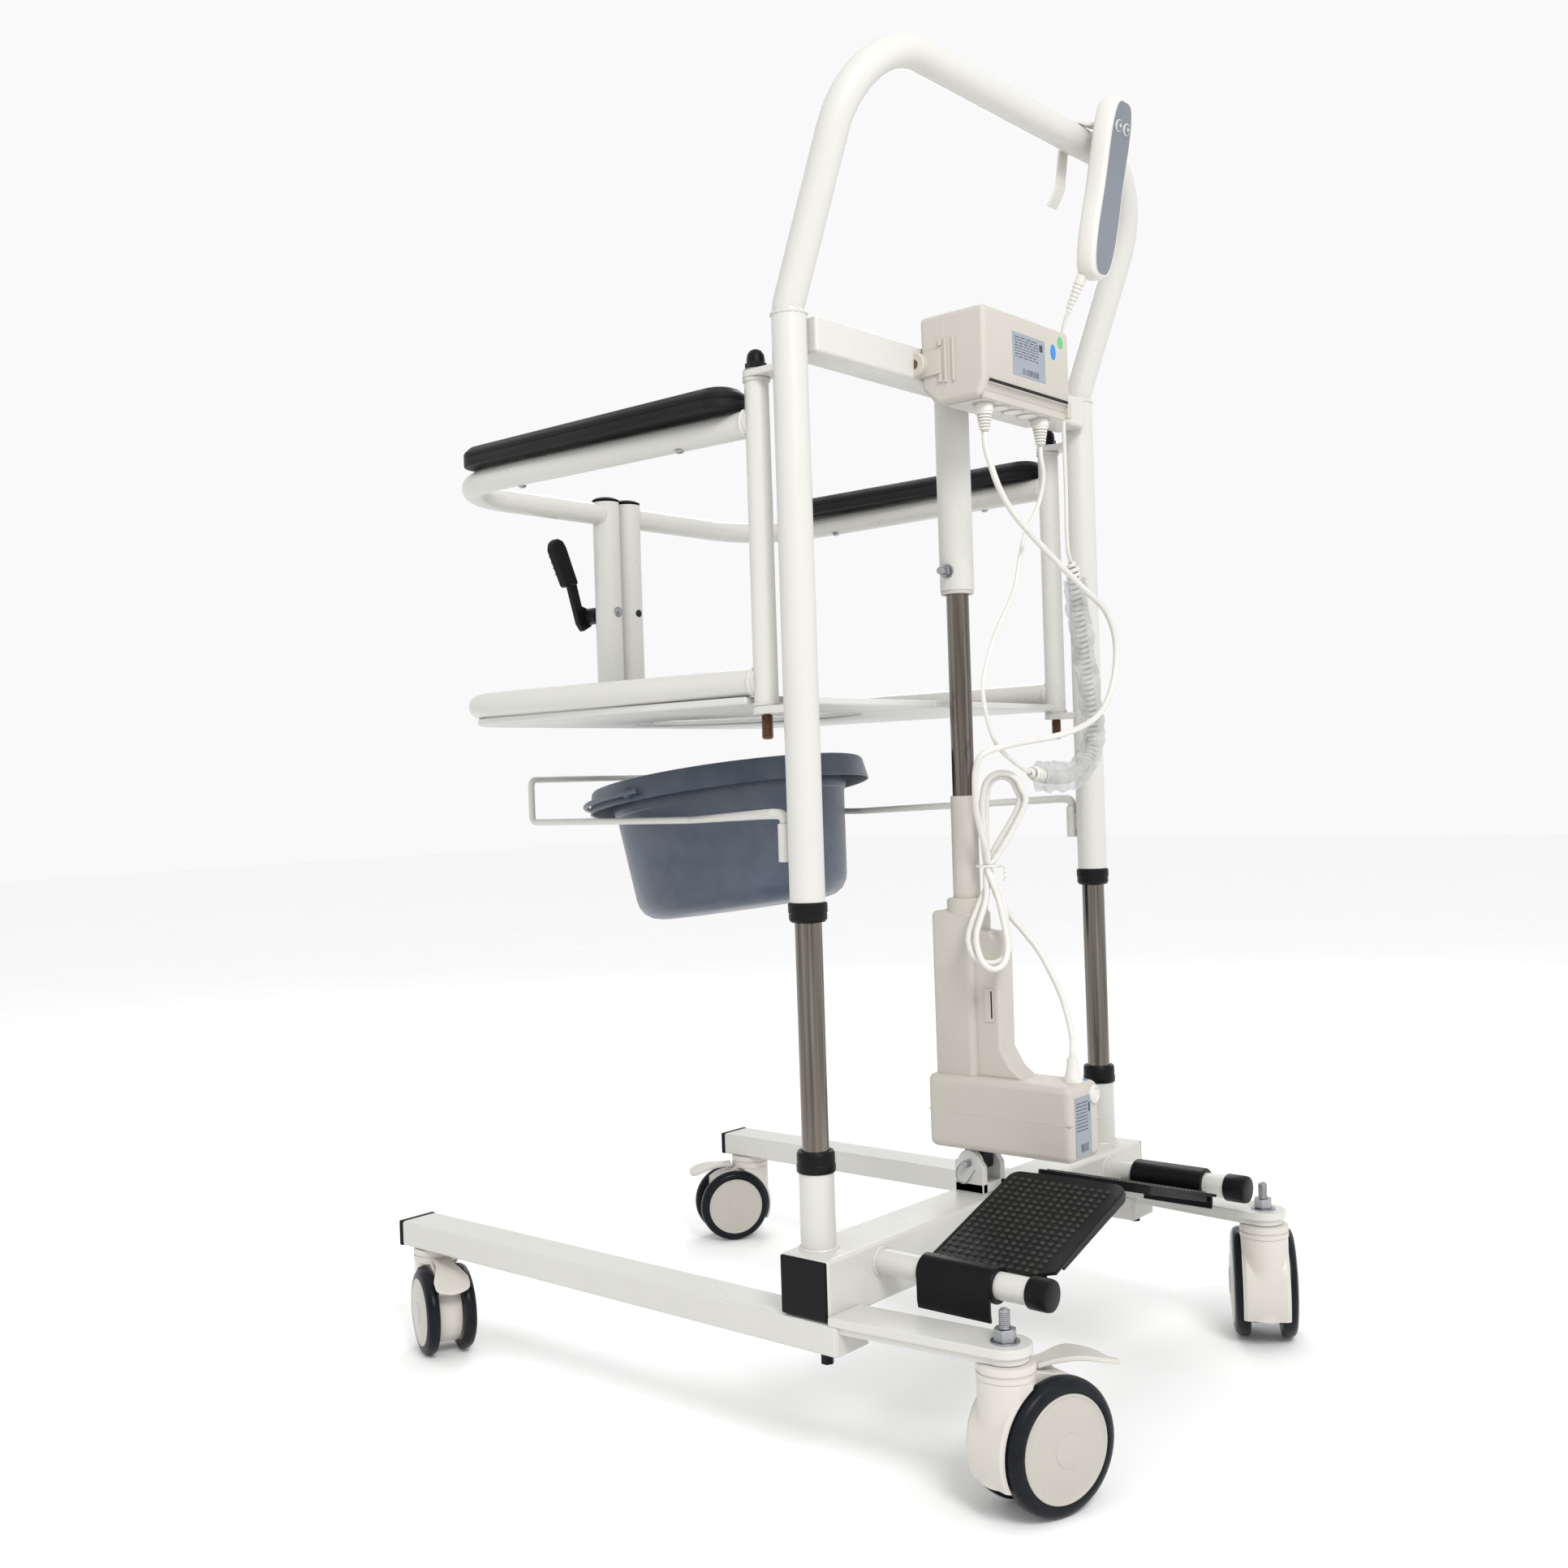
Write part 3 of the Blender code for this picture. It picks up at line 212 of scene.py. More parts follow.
PAN = (shade("pan_plastic", (0.05, 0.072, 0.108), 0.36, spread=0.12, spots=9, grain=700, bump=0.03,
             dirt=(0.3, 0.3, 0.29), dirt_share=0.1), "bucket_plastic")
BOARD = (shade("seat_laminate", (0.6, 0.6, 0.58), 0.42, dirt=DUST, dirt_share=0.1, grain=300), "board")
VINYL = (shade("pad_skin", (0.008, 0.008, 0.009), 0.4, spread=0.3, grain=1100, bump=0.12,
               Specular_IOR_Level=0.16), "pad")
CORD = (shade("cord_sheath", (0.66, 0.65, 0.61), 0.45, spread=0.05, spots=20, dirt=DUST, dirt_share=0.1),
        "cord")
FILM = (shade("clear_film", (0.46, 0.47, 0.48), 0.1, spread=0.3, spots=60, grain=60, bump=0.3, Alpha=0.42,
              Coat_Weight=0.9), "cord")


# ---- Mesh tools ----
def moved(x, y, z):
    return Matrix.Translation((x, y, z))


def circle(count):
    """The cosine and sine of `count` even steps round a circle."""
    return [(math.cos(2 * math.pi * k / count), math.sin(2 * math.pi * k / count)) for k in range(count)]


def arc(centre, radius, start_degrees, end_degrees, steps):
    points = []
    for i in range(steps + 1):
        angle = math.radians(start_degrees + (end_degrees - start_degrees) * i / steps)
        points.append((centre[0] + radius * math.cos(angle), centre[1] + radius * math.sin(angle)))
    return points


def mirrored(side, outline):
    return [(side * x, y) for x, y in outline]


def tangents(path):
    """The direction of a path at each of its points."""
    last = len(path) - 1
    return [(path[min(i + 1, last)] - path[max(i - 1, 0)]).normalized() for i in range(last + 1)]


def from_bmesh(name, shape, place=None, sharp=35):
    mesh = bpy.data.meshes.new(name)
    bmesh.ops.recalc_face_normals(shape, faces=shape.faces)
    shape.to_mesh(mesh)
    shape.free()
    mesh.shade_smooth()
    mesh.set_sharp_from_angle(angle=math.radians(sharp))
    obj = bpy.data.objects.new(name, mesh)
    SCENE.objects.link(obj)
    obj.matrix_world = Matrix.Translation(CHASSIS) @ (place or Matrix())
    return obj


def put(obj, body, finish, *nodes):
    """Gives a piece its material and its body, and hides the CAD nodes that it stands for."""
    obj.data.materials.clear()
    obj.data.materials.append(finish[0])
    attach(obj, body)
    if nodes:
        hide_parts(*nodes)
    return obj


def bevel(obj, width, segments=3, angle=35):
    edge = obj.modifiers.new("bevel", "BEVEL")
    edge.width = width
    edge.segments = segments
    edge.limit_method = "ANGLE"
    edge.angle_limit = math.radians(angle)
    edge.harden_normals = True
    return obj


def ring(shape, points):
    return [shape.verts.new(point) for point in points]


def skin(shape, rings, ends=True):
    """Faces from each ring of vertices to the next, and over both ends."""
    count = len(rings[0])
    for lower, upper in zip(rings, rings[1:]):
        for k in range(count):
            shape.faces.new((lower[k], lower[(k + 1) % count], upper[(k + 1) % count], upper[k]))
    if ends:
        shape.faces.new(rings[0])
        shape.faces.new(rings[-1])


def box(name, low, high, width=0.001, place=None, segments=3):
    shape = bmesh.new()
    bmesh.ops.create_cube(shape, size=1.0)
    for vertex in shape.verts:
        vertex.co = [a + (b - a) * (c + 0.5) for a, b, c in zip(low, high, vertex.co)]
    return bevel(from_bmesh(name, shape, place), width, segments)


def rod(name, start, end, radius, end_radius=None, sides=48, place=None, width=0.0):
    start = Vector(start)
    along = Vector(end) - start
    shape = bmesh.new()
    radii = {"radius1": radius, "radius2": radius if end_radius is None else end_radius}
    bmesh.ops.create_cone(shape, cap_ends=True, segments=sides, depth=along.length, **radii)
    turn = along.to_track_quat("Z", "Y").to_matrix().to_4x4()
    bmesh.ops.transform(shape, matrix=Matrix.Translation(start + along / 2) @ turn, verts=shape.verts)
    obj = from_bmesh(name, shape, place)
    return bevel(obj, width, 2) if width else obj


def turned(name, profile, place=None, steps=64, closed=False):
    """A profile of (radius, height) points spun about the place's Z axis."""
    shape = bmesh.new()
    points = [shape.verts.new((max(r, 0.0), 0.0, z)) for r, z in profile]
    edges = [shape.edges.new(pair) for pair in zip(points, points[1:])]
    if closed:
        edges.append(shape.edges.new((points[-1], points[0])))
    bmesh.ops.spin(shape, geom=points + edges, cent=(0, 0, 0), axis=(0, 0, 1), angle=2 * math.pi, steps=steps)
    bmesh.ops.remove_doubles(shape, verts=shape.verts, dist=0.00002)
    return from_bmesh(name, shape, place)


def ribs(count, start, pitch, radius, depth, offsets, taper=0.0):
    """Ribs for a turned profile; the offsets are where a crest ends and its groove starts and ends."""
    points = []
    for i in range(count):
        z, crest = start + pitch * i, radius - taper * i
        points += [(crest, z), (crest, z + offsets[0]), *[(crest - depth, z + end) for end in offsets[1:]]]
    return points


def bored(obj, cutter):
    """Cuts the cutter out of a piece and keeps the result as its mesh."""
    cut = obj.modifiers.new("bore", "BOOLEAN")
    cut.object = cutter
    cut.operation = "DIFFERENCE"
    cut.solver = "EXACT"
    bpy.context.view_layer.update()
    mesh = bpy.data.meshes.new_from_object(obj.evaluated_get(bpy.context.evaluated_depsgraph_get()))
    obj.modifiers.clear()
    obj.data = mesh
    mesh.set_sharp_from_angle(angle=math.radians(35))
    bpy.data.objects.remove(cutter)
    return obj


def sweep(name, path, radius, sides=16, radii=None, place=None, caps=True):
    """A tube along a path, kept from twisting."""
    path = [Vector(point) for point in path]
    headings = tangents(path)
    across = headings[0].orthogonal().normalized()
    shape = bmesh.new()
    rings = []
    for i, (point, tangent) in enumerate(zip(path, headings)):
        across = (across - tangent * across.dot(tangent)).normalized()
        other = tangent.cross(across)
        size = radius * (radii[i] if radii else 1.0)
        rings.append(ring(shape, [point + (across * c + other * s) * size for c, s in circle(sides)]))
    skin(shape, rings, caps)
    return from_bmesh(name, shape, place)


def strip(name, path, broad, half_width, thickness, place, width, sharp):
    """A flat strip along a path, broad in one direction."""
    shape = bmesh.new()
    rows = []
    for point, along in zip(path, tangents(path)):
        across = broad.cross(along) * thickness / 2
        wide = broad * half_width
        rows.append(ring(shape, [point + wide + across, point + wide - across, point - wide - across,
                                 point - wide + across]))
    skin(shape, rows)
    return bevel(from_bmesh(name, shape, place, sharp), width, 2, sharp)


def prism(name, outline, low, high, width=0.001, place=None, upright=False, segments=3):
    """A flat outline given thickness; an upright one is in (y, z), with low and high as its two x."""
    shape = bmesh.new()
    points = [shape.verts.new((low, u, v) if upright else (u, v, low)) for u, v in outline]
    move = (high - low, 0, 0) if upright else (0, 0, high - low)
    face = shape.faces.new(points)
    made = bmesh.ops.extrude_face_region(shape, geom=[face])["geom"]
    bmesh.ops.translate(shape, vec=move, verts=[v for v in made if isinstance(v, bmesh.types.BMVert)])
    obj = from_bmesh(name, shape, place)
    return bevel(obj, width, segments) if width else obj


def rounded(corners, radius, step=math.radians(6)):
    """The path through the corners, with each bend an arc."""
    corners = [Vector(corner) for corner in corners]
    path = [corners[0]]
    for before, corner, after in zip(corners, corners[1:], corners[2:]):
        back = (before - corner).normalized()
        onward = (after - corner).normalized()
        half = back.angle(onward) / 2
        centre = corner + (back + onward).normalized() * radius / math.sin(half)
        spoke = corner + back * radius / math.tan(half) - centre
        turn = math.pi - 2 * half
        axis = back.cross(onward)
        count = max(1, round(turn / step))
        for i in range(count + 1):
            path.append(centre + Matrix.Rotation(-turn * i / count, 3, axis) @ spoke)
    path.append(corners[-1])
    return path


def flow(route, spacing):
    """Points every `spacing` or so along the smooth curve through a route's points."""
    route = [Vector(point) for point in route]
    ends = [2 * route[0] - route[1], *route, 2 * route[-1] - route[-2]]
    path = []
    for a, b, c, d in zip(ends, ends[1:], ends[2:], ends[3:]):
        count = max(1, round((c - b).length / spacing))
        for t in [i / count for i in range(count)]:
            cubic = (3 * b - a - 3 * c + d) * t**3
            path.append(0.5 * (2 * b + (c - a) * t + (2 * a - 5 * b + 4 * c - d) * t**2 + cubic))
    path.append(route[-1])
    return path


def hexagon(name, centre, radius, low, high, body, finish=ZINC, turn=0.2):
    corners = [turn + math.pi * k / 3 for k in range(6)]
    outline = [(centre[0] + radius * math.cos(a), centre[1] + radius * math.sin(a)) for a in corners]
    return put(prism(name, outline, low, high, 0.0006), body, finish)


def weld_ring(name, centre, radius, turn, body):
    """A slightly lumpy painted weld bead."""
    path = [(radius * c, radius * s, 0.0) for c, s in circle(60)]
    path.append(path[0])
    lumps = [1.0 + 0.16 * math.sin(k * 1.9) for k in range(len(path))]
    put(sweep(name, path, 0.0019, 8, lumps, Matrix.Translation(centre) @ turn, caps=False), body, WHITE)


# ---- Camera, light and floor ----
def camera():
    data = bpy.data.cameras.new("photo_camera")
    data.lens = 37.26
    data.sensor_width = 36.0
    data.clip_start, data.clip_end = 0.05, 60.0
    eye = bpy.data.objects.new("photo_camera", data)
    right = Vector((0.6494, -0.7597, -0.0323))
    forward = Vector((0.7602, 0.6497, 0.0004)).normalized()
    right = (right - forward * right.dot(forward)).normalized()
    turn = Matrix((right, right.cross(forward), -forward)).transposed().to_4x4()
    eye.matrix_world = Matrix.Translation(CHASSIS + Vector((-1.5068, -1.0165, 0.6669))) @ turn
    SCENE.objects.link(eye)
    bpy.context.scene.camera = eye


def area_light(name, place, target, size, power):
    data = bpy.data.lights.new(name, "AREA")
    data.shape = "DISK"
    data.size = size
    data.energy = power
    lamp = bpy.data.objects.new(name, data)
    lamp.location = place
    lamp.rotation_euler = (Vector(target) - Vector(place)).to_track_quat("-Z", "Y").to_euler()
    SCENE.objects.link(lamp)


def studio():
    """A white paper floor under an even white sky, a soft key light and a weaker rim light."""
    shape = bmesh.new()
    bmesh.ops.create_grid(shape, x_segments=1, y_segments=1, size=14.0)
    floor = from_bmesh("floor", shape)
    floor.matrix_world = moved(0, 0, -0.0005)
    floor.data.materials.append(shade("floor_paper", (0.97, 0.97, 0.97), 0.9, spread=0.01, bump=0.0))
    world = bpy.data.worlds.new("studio")
    world.use_nodes = True
    sky = world.node_tree.nodes["Background"].inputs
    sky["Color"].default_value = (1.0, 1.0, 1.0, 1)
    sky["Strength"].default_value = 0.95
    bpy.context.scene.world = world
    bpy.context.scene.view_settings.view_transform = "Standard"
    area_light("key", (-1.6, -2.6, 2.9), (0, 0, 0.7), 1.3, 72)
    area_light("rim", (2.2, 1.6, 2.4), (0, 0, 0.8), 1.4, 22)


camera()
studio()


# ---- Cords ----
HANK_TIE = Vector((-0.004, -0.024, 0.572))
HANK_HEADING = math.radians(-49.5)
HANK_DROOP = math.radians(25)
MOTOR_CORD, HANDSET_CORD = 0.007, 0.0048
CURL_RADIUS, CURL_PITCH, CURL_STEPS = 0.0085, 0.0062, 14
MOTOR_CABLE_DOWN = [
    (-0.061, -0.075, 1.0315), (-0.061, -0.075, 1.018), (-0.056, -0.076, 1.003), (-0.04, -0.077, 0.975),
    (-0.014, -0.078, 0.95), (0.041, -0.079, 0.919), (0.112, -0.082, 0.883), (0.168, -0.083, 0.856),
    (0.19, -0.083, 0.819), (0.18, -0.083, 0.772), (0.145, -0.082, 0.735), (0.078, -0.078, 0.714),
    (-0.02, -0.068, 0.702), (-0.056, -0.057, 0.693), (-0.058, -0.048, 0.6775), (-0.052, -0.042, 0.655),
    (-0.042, -0.036, 0.632), (-0.03, -0.033, 0.61), (-0.019, -0.032, 0.59),
]
MOTOR_CABLE_FOOT = [
    (0.006, -0.021, 0.55), (0.008, -0.028, 0.533), (0.014, -0.04, 0.513), (0.021, -0.054, 0.494),
    (0.027, -0.07, 0.47), (0.028, -0.092, 0.428), (0.018, -0.109, 0.391), (0.006, -0.117, 0.376),
    (0.005, -0.117, 0.3664),
]
HANDSET_CORD_DOWN = [
    (0.1159, -0.0762, 1.1918), (0.118, -0.068, 1.172), (0.124, -0.062, 1.12), (0.129, -0.0585, 1.076),
    (0.129, -0.059, 1.0), (0.126, -0.06, 0.95), (0.127, -0.06, 0.925),
]
CURL_ROUTE = [
    (0.134, -0.06, 0.913), (0.143, -0.06, 0.875), (0.152, -0.06, 0.831), (0.164, -0.06, 0.77),
    (0.171, -0.06, 0.725), (0.165, -0.06, 0.695), (0.14, -0.06, 0.674), (0.105, -0.06, 0.666),
    (0.07, -0.06, 0.666), (0.03, -0.06, 0.672),
]
HANDSET_CORD_UP = [
    (0.0215, -0.06, 0.674), (-0.005, -0.06, 0.685), (-0.03, -0.059, 0.7), (-0.045, -0.058, 0.723),
    (-0.055, -0.058, 0.756), (-0.05, -0.058, 0.78), (-0.028, -0.058, 0.82), (0.012, -0.058, 0.87),
    (0.024, -0.058, 0.9), (0.036, -0.06, 0.935), (0.052, -0.067, 0.965), (0.056, -0.074, 0.998),
    (0.05, -0.075, 1.02), (0.05, -0.075, 1.0315),
]


def length_of(path):
    return sum((b - a).length for a, b in zip(path, path[1:]))


def hank_turns():
    """Two turns of a figure of eight tied in its middle: upper loops upright, lower ones drooping forward."""
    along = Vector((math.cos(HANK_HEADING), math.sin(HANK_HEADING), 0.0))
    towards = Vector((math.sin(HANK_HEADING), -math.cos(HANK_HEADING), 0.0))
    points = []
    for turn in range(2):
        start = HANK_TIE + towards * (0.0038 - 0.0076 * turn)
        inner = 1.0 - 0.22 * turn
        lower_share = 1.0 if turn else 0.6
        upper = [(0.004 - 0.003 * turn, 0.002), (0.018 + 0.023 * inner, 0.062),
                 *arc((0.018, 0.08), 0.0205 * inner, 10, 170, 8),
                 (0.018 - 0.023 * inner, 0.06), (-0.003 + 0.003 * turn, 0.004)]
        lower = [(0.012, -0.04), (-0.006 + 0.027 * inner, -0.085),
                 *arc((-0.006, -0.094), 0.027 * inner, -15, -165, 8),
                 (-0.006 - 0.027 * inner, -0.08), (-0.01, -0.04)]
        points += [start + along * u + Vector((0, 0, v)) for u, v in upper]
        for u, v in lower:
            drop = towards * (-v * math.sin(HANK_DROOP)) + Vector((0, 0, v * math.cos(HANK_DROOP)))
            points.append(start + along * u * lower_share + drop)
    return points


def twist_tie(name, centre, half_width, half_depth, heading, body):
    """A white twist tie: an oval wire with two short twisted tails."""
    loop = []
    for k in range(49):
        angle = 2 * math.pi * k / 24
        loop.append((half_width * math.cos(angle), half_depth * math.sin(angle), 0.0013 * (k / 24 - 1)))
    tails = []
    for k in range(14):
        swing = 0.0009 * math.cos(k * 1.3), 0.0009 * math.sin(k * 1.3)
        tails.append((half_width + 0.004 + swing[0], swing[1], -0.002 - 0.0011 * k))
    place = Matrix.Translation(centre) @ Matrix.Rotation(heading, 4, "Z")
    return put(sweep(name, [*loop, *tails], 0.0008, 8, place=place), body, CORD)


def motor_cable():
    path = flow([*MOTOR_CABLE_DOWN, *hank_turns(), *MOTOR_CABLE_FOOT], 0.006)
    cable = sweep("motor_cable", path, MOTOR_CORD / 2, 12)
    put(cable, "lift_frame", CORD, "motor_cable_upper", "motor_cable_hank", "motor_cable_foot")
    cable.parent = None
    cable.matrix_world = Matrix.Translation(CHASSIS)
    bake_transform(cable)
    tie = twist_tie("motor_hank_tie", HANK_TIE + Vector((0, 0, -0.002)), 0.0135, 0.0105, HANK_HEADING, "base")


def curl_points():
    """The curly stretch: a helix about its sagging centre line."""
    line = flow(CURL_ROUTE, 0.004)
    total = length_of(line)
    turns = round(total / CURL_PITCH)
    winding = CURL_RADIUS - HANDSET_CORD / 2
    steps = turns * CURL_STEPS
    points = []
    travelled, i = 0.0, 0
    across = Vector((0, 1, 0))
    for k in range(steps + 1):
        target = total * k / steps
        while i < len(line) - 2 and travelled + (line[i + 1] - line[i]).length < target:
            travelled += (line[i + 1] - line[i]).length
            i += 1
        span = line[i + 1] - line[i]
        middle = line[i] + span * min(1.0, (target - travelled) / span.length)
        other = span.normalized().cross(across).normalized()
        angle = 2 * math.pi * turns * k / steps
        swell = min(1.0, k / 20 + 0.15, (steps - k) / 20 + 0.15)
        points.append(middle + (across * math.cos(angle) + other * math.sin(angle)) * winding * swell)
    return points


def handset_cord():
    path = [*flow(HANDSET_CORD_DOWN, 0.006), *curl_points(), *flow(HANDSET_CORD_UP, 0.006)]
    cord = sweep("handset_cord", path, HANDSET_CORD / 2, 8)
    put(cord, "lift_frame", CORD, "handset_cord_down", "handset_cord_curl", "handset_cord_up")
    cord.parent = None
    cord.matrix_world = Matrix.Translation(CHASSIS)
    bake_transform(cord)
    film_sleeve()


def film_sleeve():
    """The crinkled clear bag that the curly stretch is still wrapped in."""
    line = flow([(0.139, -0.06, 0.893), *CURL_ROUTE[2:-1], (0.05, -0.06, 0.668)], 0.004)
    shape = bmesh.new()
    rings = []
    across = Vector((0, 1, 0))
    sides = 28
    for i, (point, tangent) in enumerate(zip(line, tangents(line))):
        other = tangent.cross(across).normalized()
        points = []
        for k, (c, s) in enumerate(circle(sides)):
            angle = 2 * math.pi * k / sides
            wave = 0.1 * math.sin(3 * angle + i * 0.43) + 0.08 * math.sin(5 * angle - i * 0.9)
            radius = 0.0118 * (1 + wave + 0.05 * DICE.uniform(-1, 1))
            points.append(point + (across * c * 0.95 + other * s * 1.38) * radius)
        rings.append(ring(shape, points))
    skin(shape, rings, ends=False)
    return put(from_bmesh("cord_film_sleeve", shape, sharp=22), "lift_frame", FILM)


def plug(word):
    """A round plug under the control box with a ribbed, tapered relief."""
    profile = [(0, 1.0617), (0.0094, 1.0617), (0.0098, 1.0605), (0.0098, 1.0535), (0.0088, 1.0522),
               *ribs(6, 1.0515, -0.0032, 0.0084, 0.0021, (-0.0016, -0.0018, -0.003), 0.00055),
               (0.0046, 1.0322), (0.0036, 1.032), (0, 1.032)]
    made = turned(f"plug_{word}_ribbed", profile, moved(PLUG_X[word], PLUG_Y, 0))
    return put(made, "lift_frame", PORCELAIN, f"plug_{word}")


PLUGS = {word: plug(word) for word in PLUG_X}
motor_cable()
handset_cord()


# ---- Base ----
def crossbeam():
    tube = box("beam_tube", (-0.312, -0.03, 0.15), (0.312, 0.03, 0.21), 0.0045, segments=4)
    put(tube, "base", WHITE, "crossbeam")
    for side, word in SIDES:
        # a black plug in the tube's end, then the beads round the column stub and the footrest tube
        x0, x1 = sorted((side * 0.3098, side * 0.3138))
        put(box(f"beam_plug_{word}", (x0, -0.0285, 0.1515), (x1, 0.0285, 0.2085), 0.0018), "base", BLACK)
        weld_ring(f"stub_weld_{word}", (side * COLUMN_X, COLUMN_Y, BEAM_TOP), 0.0182, Matrix(), "base")
        foot = (side * FOOTREST_X, BEAM_FRONT, FOOTREST_Z)
        weld_ring(f"footrest_weld_{word}", foot, 0.0137, FACE_FRONT, "base")


def leg(side, word):
    """The leg tube, its caps, the caster plate welded on, and the bolts."""
    x0, x1 = sorted((side * (LEG_X - LEG_HALF_WIDTH), side * (LEG_X + LEG_HALF_WIDTH)))
    tube = box(f"leg_tube_{word}", (x0, -0.04, 0.12), (x1, 0.638, 0.1497), 0.0032, segments=4)
    put(tube, "base", WHITE, f"leg_{word}")
    put(box(f"leg_end_{word}", (x0 + 0.001, -0.0412, 0.121), (x1 - 0.001, -0.039, 0.1487)), "base", WHITE)
    cap = box(f"leg_cap_{word}", (x0 - 0.0004, 0.6372, 0.1196), (x1 + 0.0004, 0.6438, 0.1501), 0.002)
    put(cap, "base", BLACK)
    stud_x, stud_y = CASTERS[f"front_{word}"][:2]
    for name, half, root_y, low, high, width in (
        ("plate", 0.025, BEAM_FRONT, 0.149, 0.158, 0.0015),
        ("plate_web", 0.0215, -0.034, 0.1424, 0.1492, 0.001),
    ):
        tip = arc((abs(stud_x), stud_y), half, 0, -180, 24)
        outline = [(LEG_X - half, root_y), (LEG_X + half, root_y), *tip]
        put(prism(f"caster_{name}_{word}", mirrored(side, outline), low, high, width), "base", WHITE)
    stud_stack(f"front_{word}", stud_x, stud_y, 0.158)
    bolt = side * 0.305, -0.021
    put(rod(f"leg_stop_bolt_{word}", (*bolt, 0.11), (*bolt, 0.1203), 0.0065, sides=6), "base", BLACK)


def stud_stack(word, x, y, low):
    """Washer, hexagon nut and the domed end of the caster's threaded stud."""
    washer = [(0, low + 0.0014), (0.0132, low + 0.0014), (0.0136, low + 0.001), (0.0136, low)]
    put(turned(f"washer_{word}", washer, moved(x, y, 0)), "base", ZINC)
    hexagon(f"nut_{word}", (x, y), 0.0108, low + 0.0014, low + 0.0125, "base", turn=0.35)
    profile = [(0, low + 0.031), (0.0025, low + 0.0306), (0.0046, low + 0.029),
               *ribs(8, low + 0.0283, -0.0018, 0.0052, 0.0006, (-0.0007, -0.0011, -0.0015)),
               (0.006, low + 0.0128), (0, low + 0.012)]
    put(turned(f"stud_{word}", profile, moved(x, y, 0), 32), "base", ZINC)


def column(side, word):
    """The telescopic column: stub, guide tube, collars, and the sliding outer tube with its ears."""
    x = side * COLUMN_X
    at = moved(x, COLUMN_Y, 0)
    stub = [(COLUMN_RADIUS, BEAM_TOP), (COLUMN_RADIUS, 0.2848), (0.0145, 0.2848), (0.0145, BEAM_TOP)]
    put(turned(f"stub_{word}", stub, at, closed=True), "base", WHITE, f"column_stub_{word}")
    guide = [(GUIDE_RADIUS, BEAM_TOP), (GUIDE_RADIUS, 0.879), (0.0128, 0.88), (0.0115, 0.88),
             (0.0115, BEAM_TOP)]
    # the guide tube takes the streaked chrome finish with its painted reflection bands
    put(turned(f"guide_{word}", guide, at, closed=True), "base", ROD, f"guide_tube_{word}")
    lower = [(0.0142, 0.285), (0.0188, 0.285), (0.0196, 0.2862), (0.0196, 0.2925), (0.019, 0.2933),
             (0.019, 0.3035), (0.0175, 0.306), (0.0142, 0.306)]
    put(turned(f"lower_ring_{word}", lower, at, closed=True), "base", BLACK, f"lower_collar_{word}")
    upper = [(0.0142, 0.531), (0.017, 0.531), (0.0185, 0.533), (0.019, 0.5335), (0.019, 0.54),
             (0.0196, 0.5408), (0.0196, 0.549), (0.0188, 0.55), (0.0142, 0.55)]
    put(turned(f"upper_ring_{word}", upper, at, closed=True), "lift_frame", BLACK, f"upper_collar_{word}")
    outer = [(0.0146, 0.5503), (0.0172, 0.5503), (COLUMN_RADIUS, 0.5508), (COLUMN_RADIUS, CROSSBAR_TOP),
             (0.0146, CROSSBAR_TOP)]
    put(turned(f"outer_tube_{word}", outer, at, closed=True), "lift_frame", WHITE, f"outer_column_{word}")
    weld_ring(f"handle_weld_{word}", (x, COLUMN_Y, 1.13), 0.0172, Matrix(), "lift_frame")
    for level, low, high in (("upper", 1.075, 1.082), ("lower", 0.738, 0.746)):
        # the ear's root follows the tube
        across = (-0.014, -0.01, -0.005, 0.0, 0.005, 0.01, 0.014)
        root = [(COLUMN_X + u, COLUMN_Y + math.sqrt(0.017**2 - u**2)) for u in across]
        ear = [*root, *arc((COLUMN_X, HINGE_Y), 0.014, 0, 180, 24)]
        put(prism(f"{level}_ear_{word}", mirrored(side, ear), low, high, 0.0009), "lift_frame", WHITE)
    hinge(side, word)
    socket = [(0.0058, 0.5945), (0.0058, 0.628), (0.0072, 0.628), (0.0074, 0.627), (0.0074, 0.591),
              (0.007, 0.59), (0, 0.59), (0, 0.5945)]
    put(turned(f"rack_socket_{word}", socket, moved(x, 0.034, 0), 32), "lift_frame", WHITE)
    put(box(f"socket_tab_{word}", (x - 0.004, 0.02, 0.6), (x + 0.004, 0.0285, 0.62)), "lift_frame", WHITE)


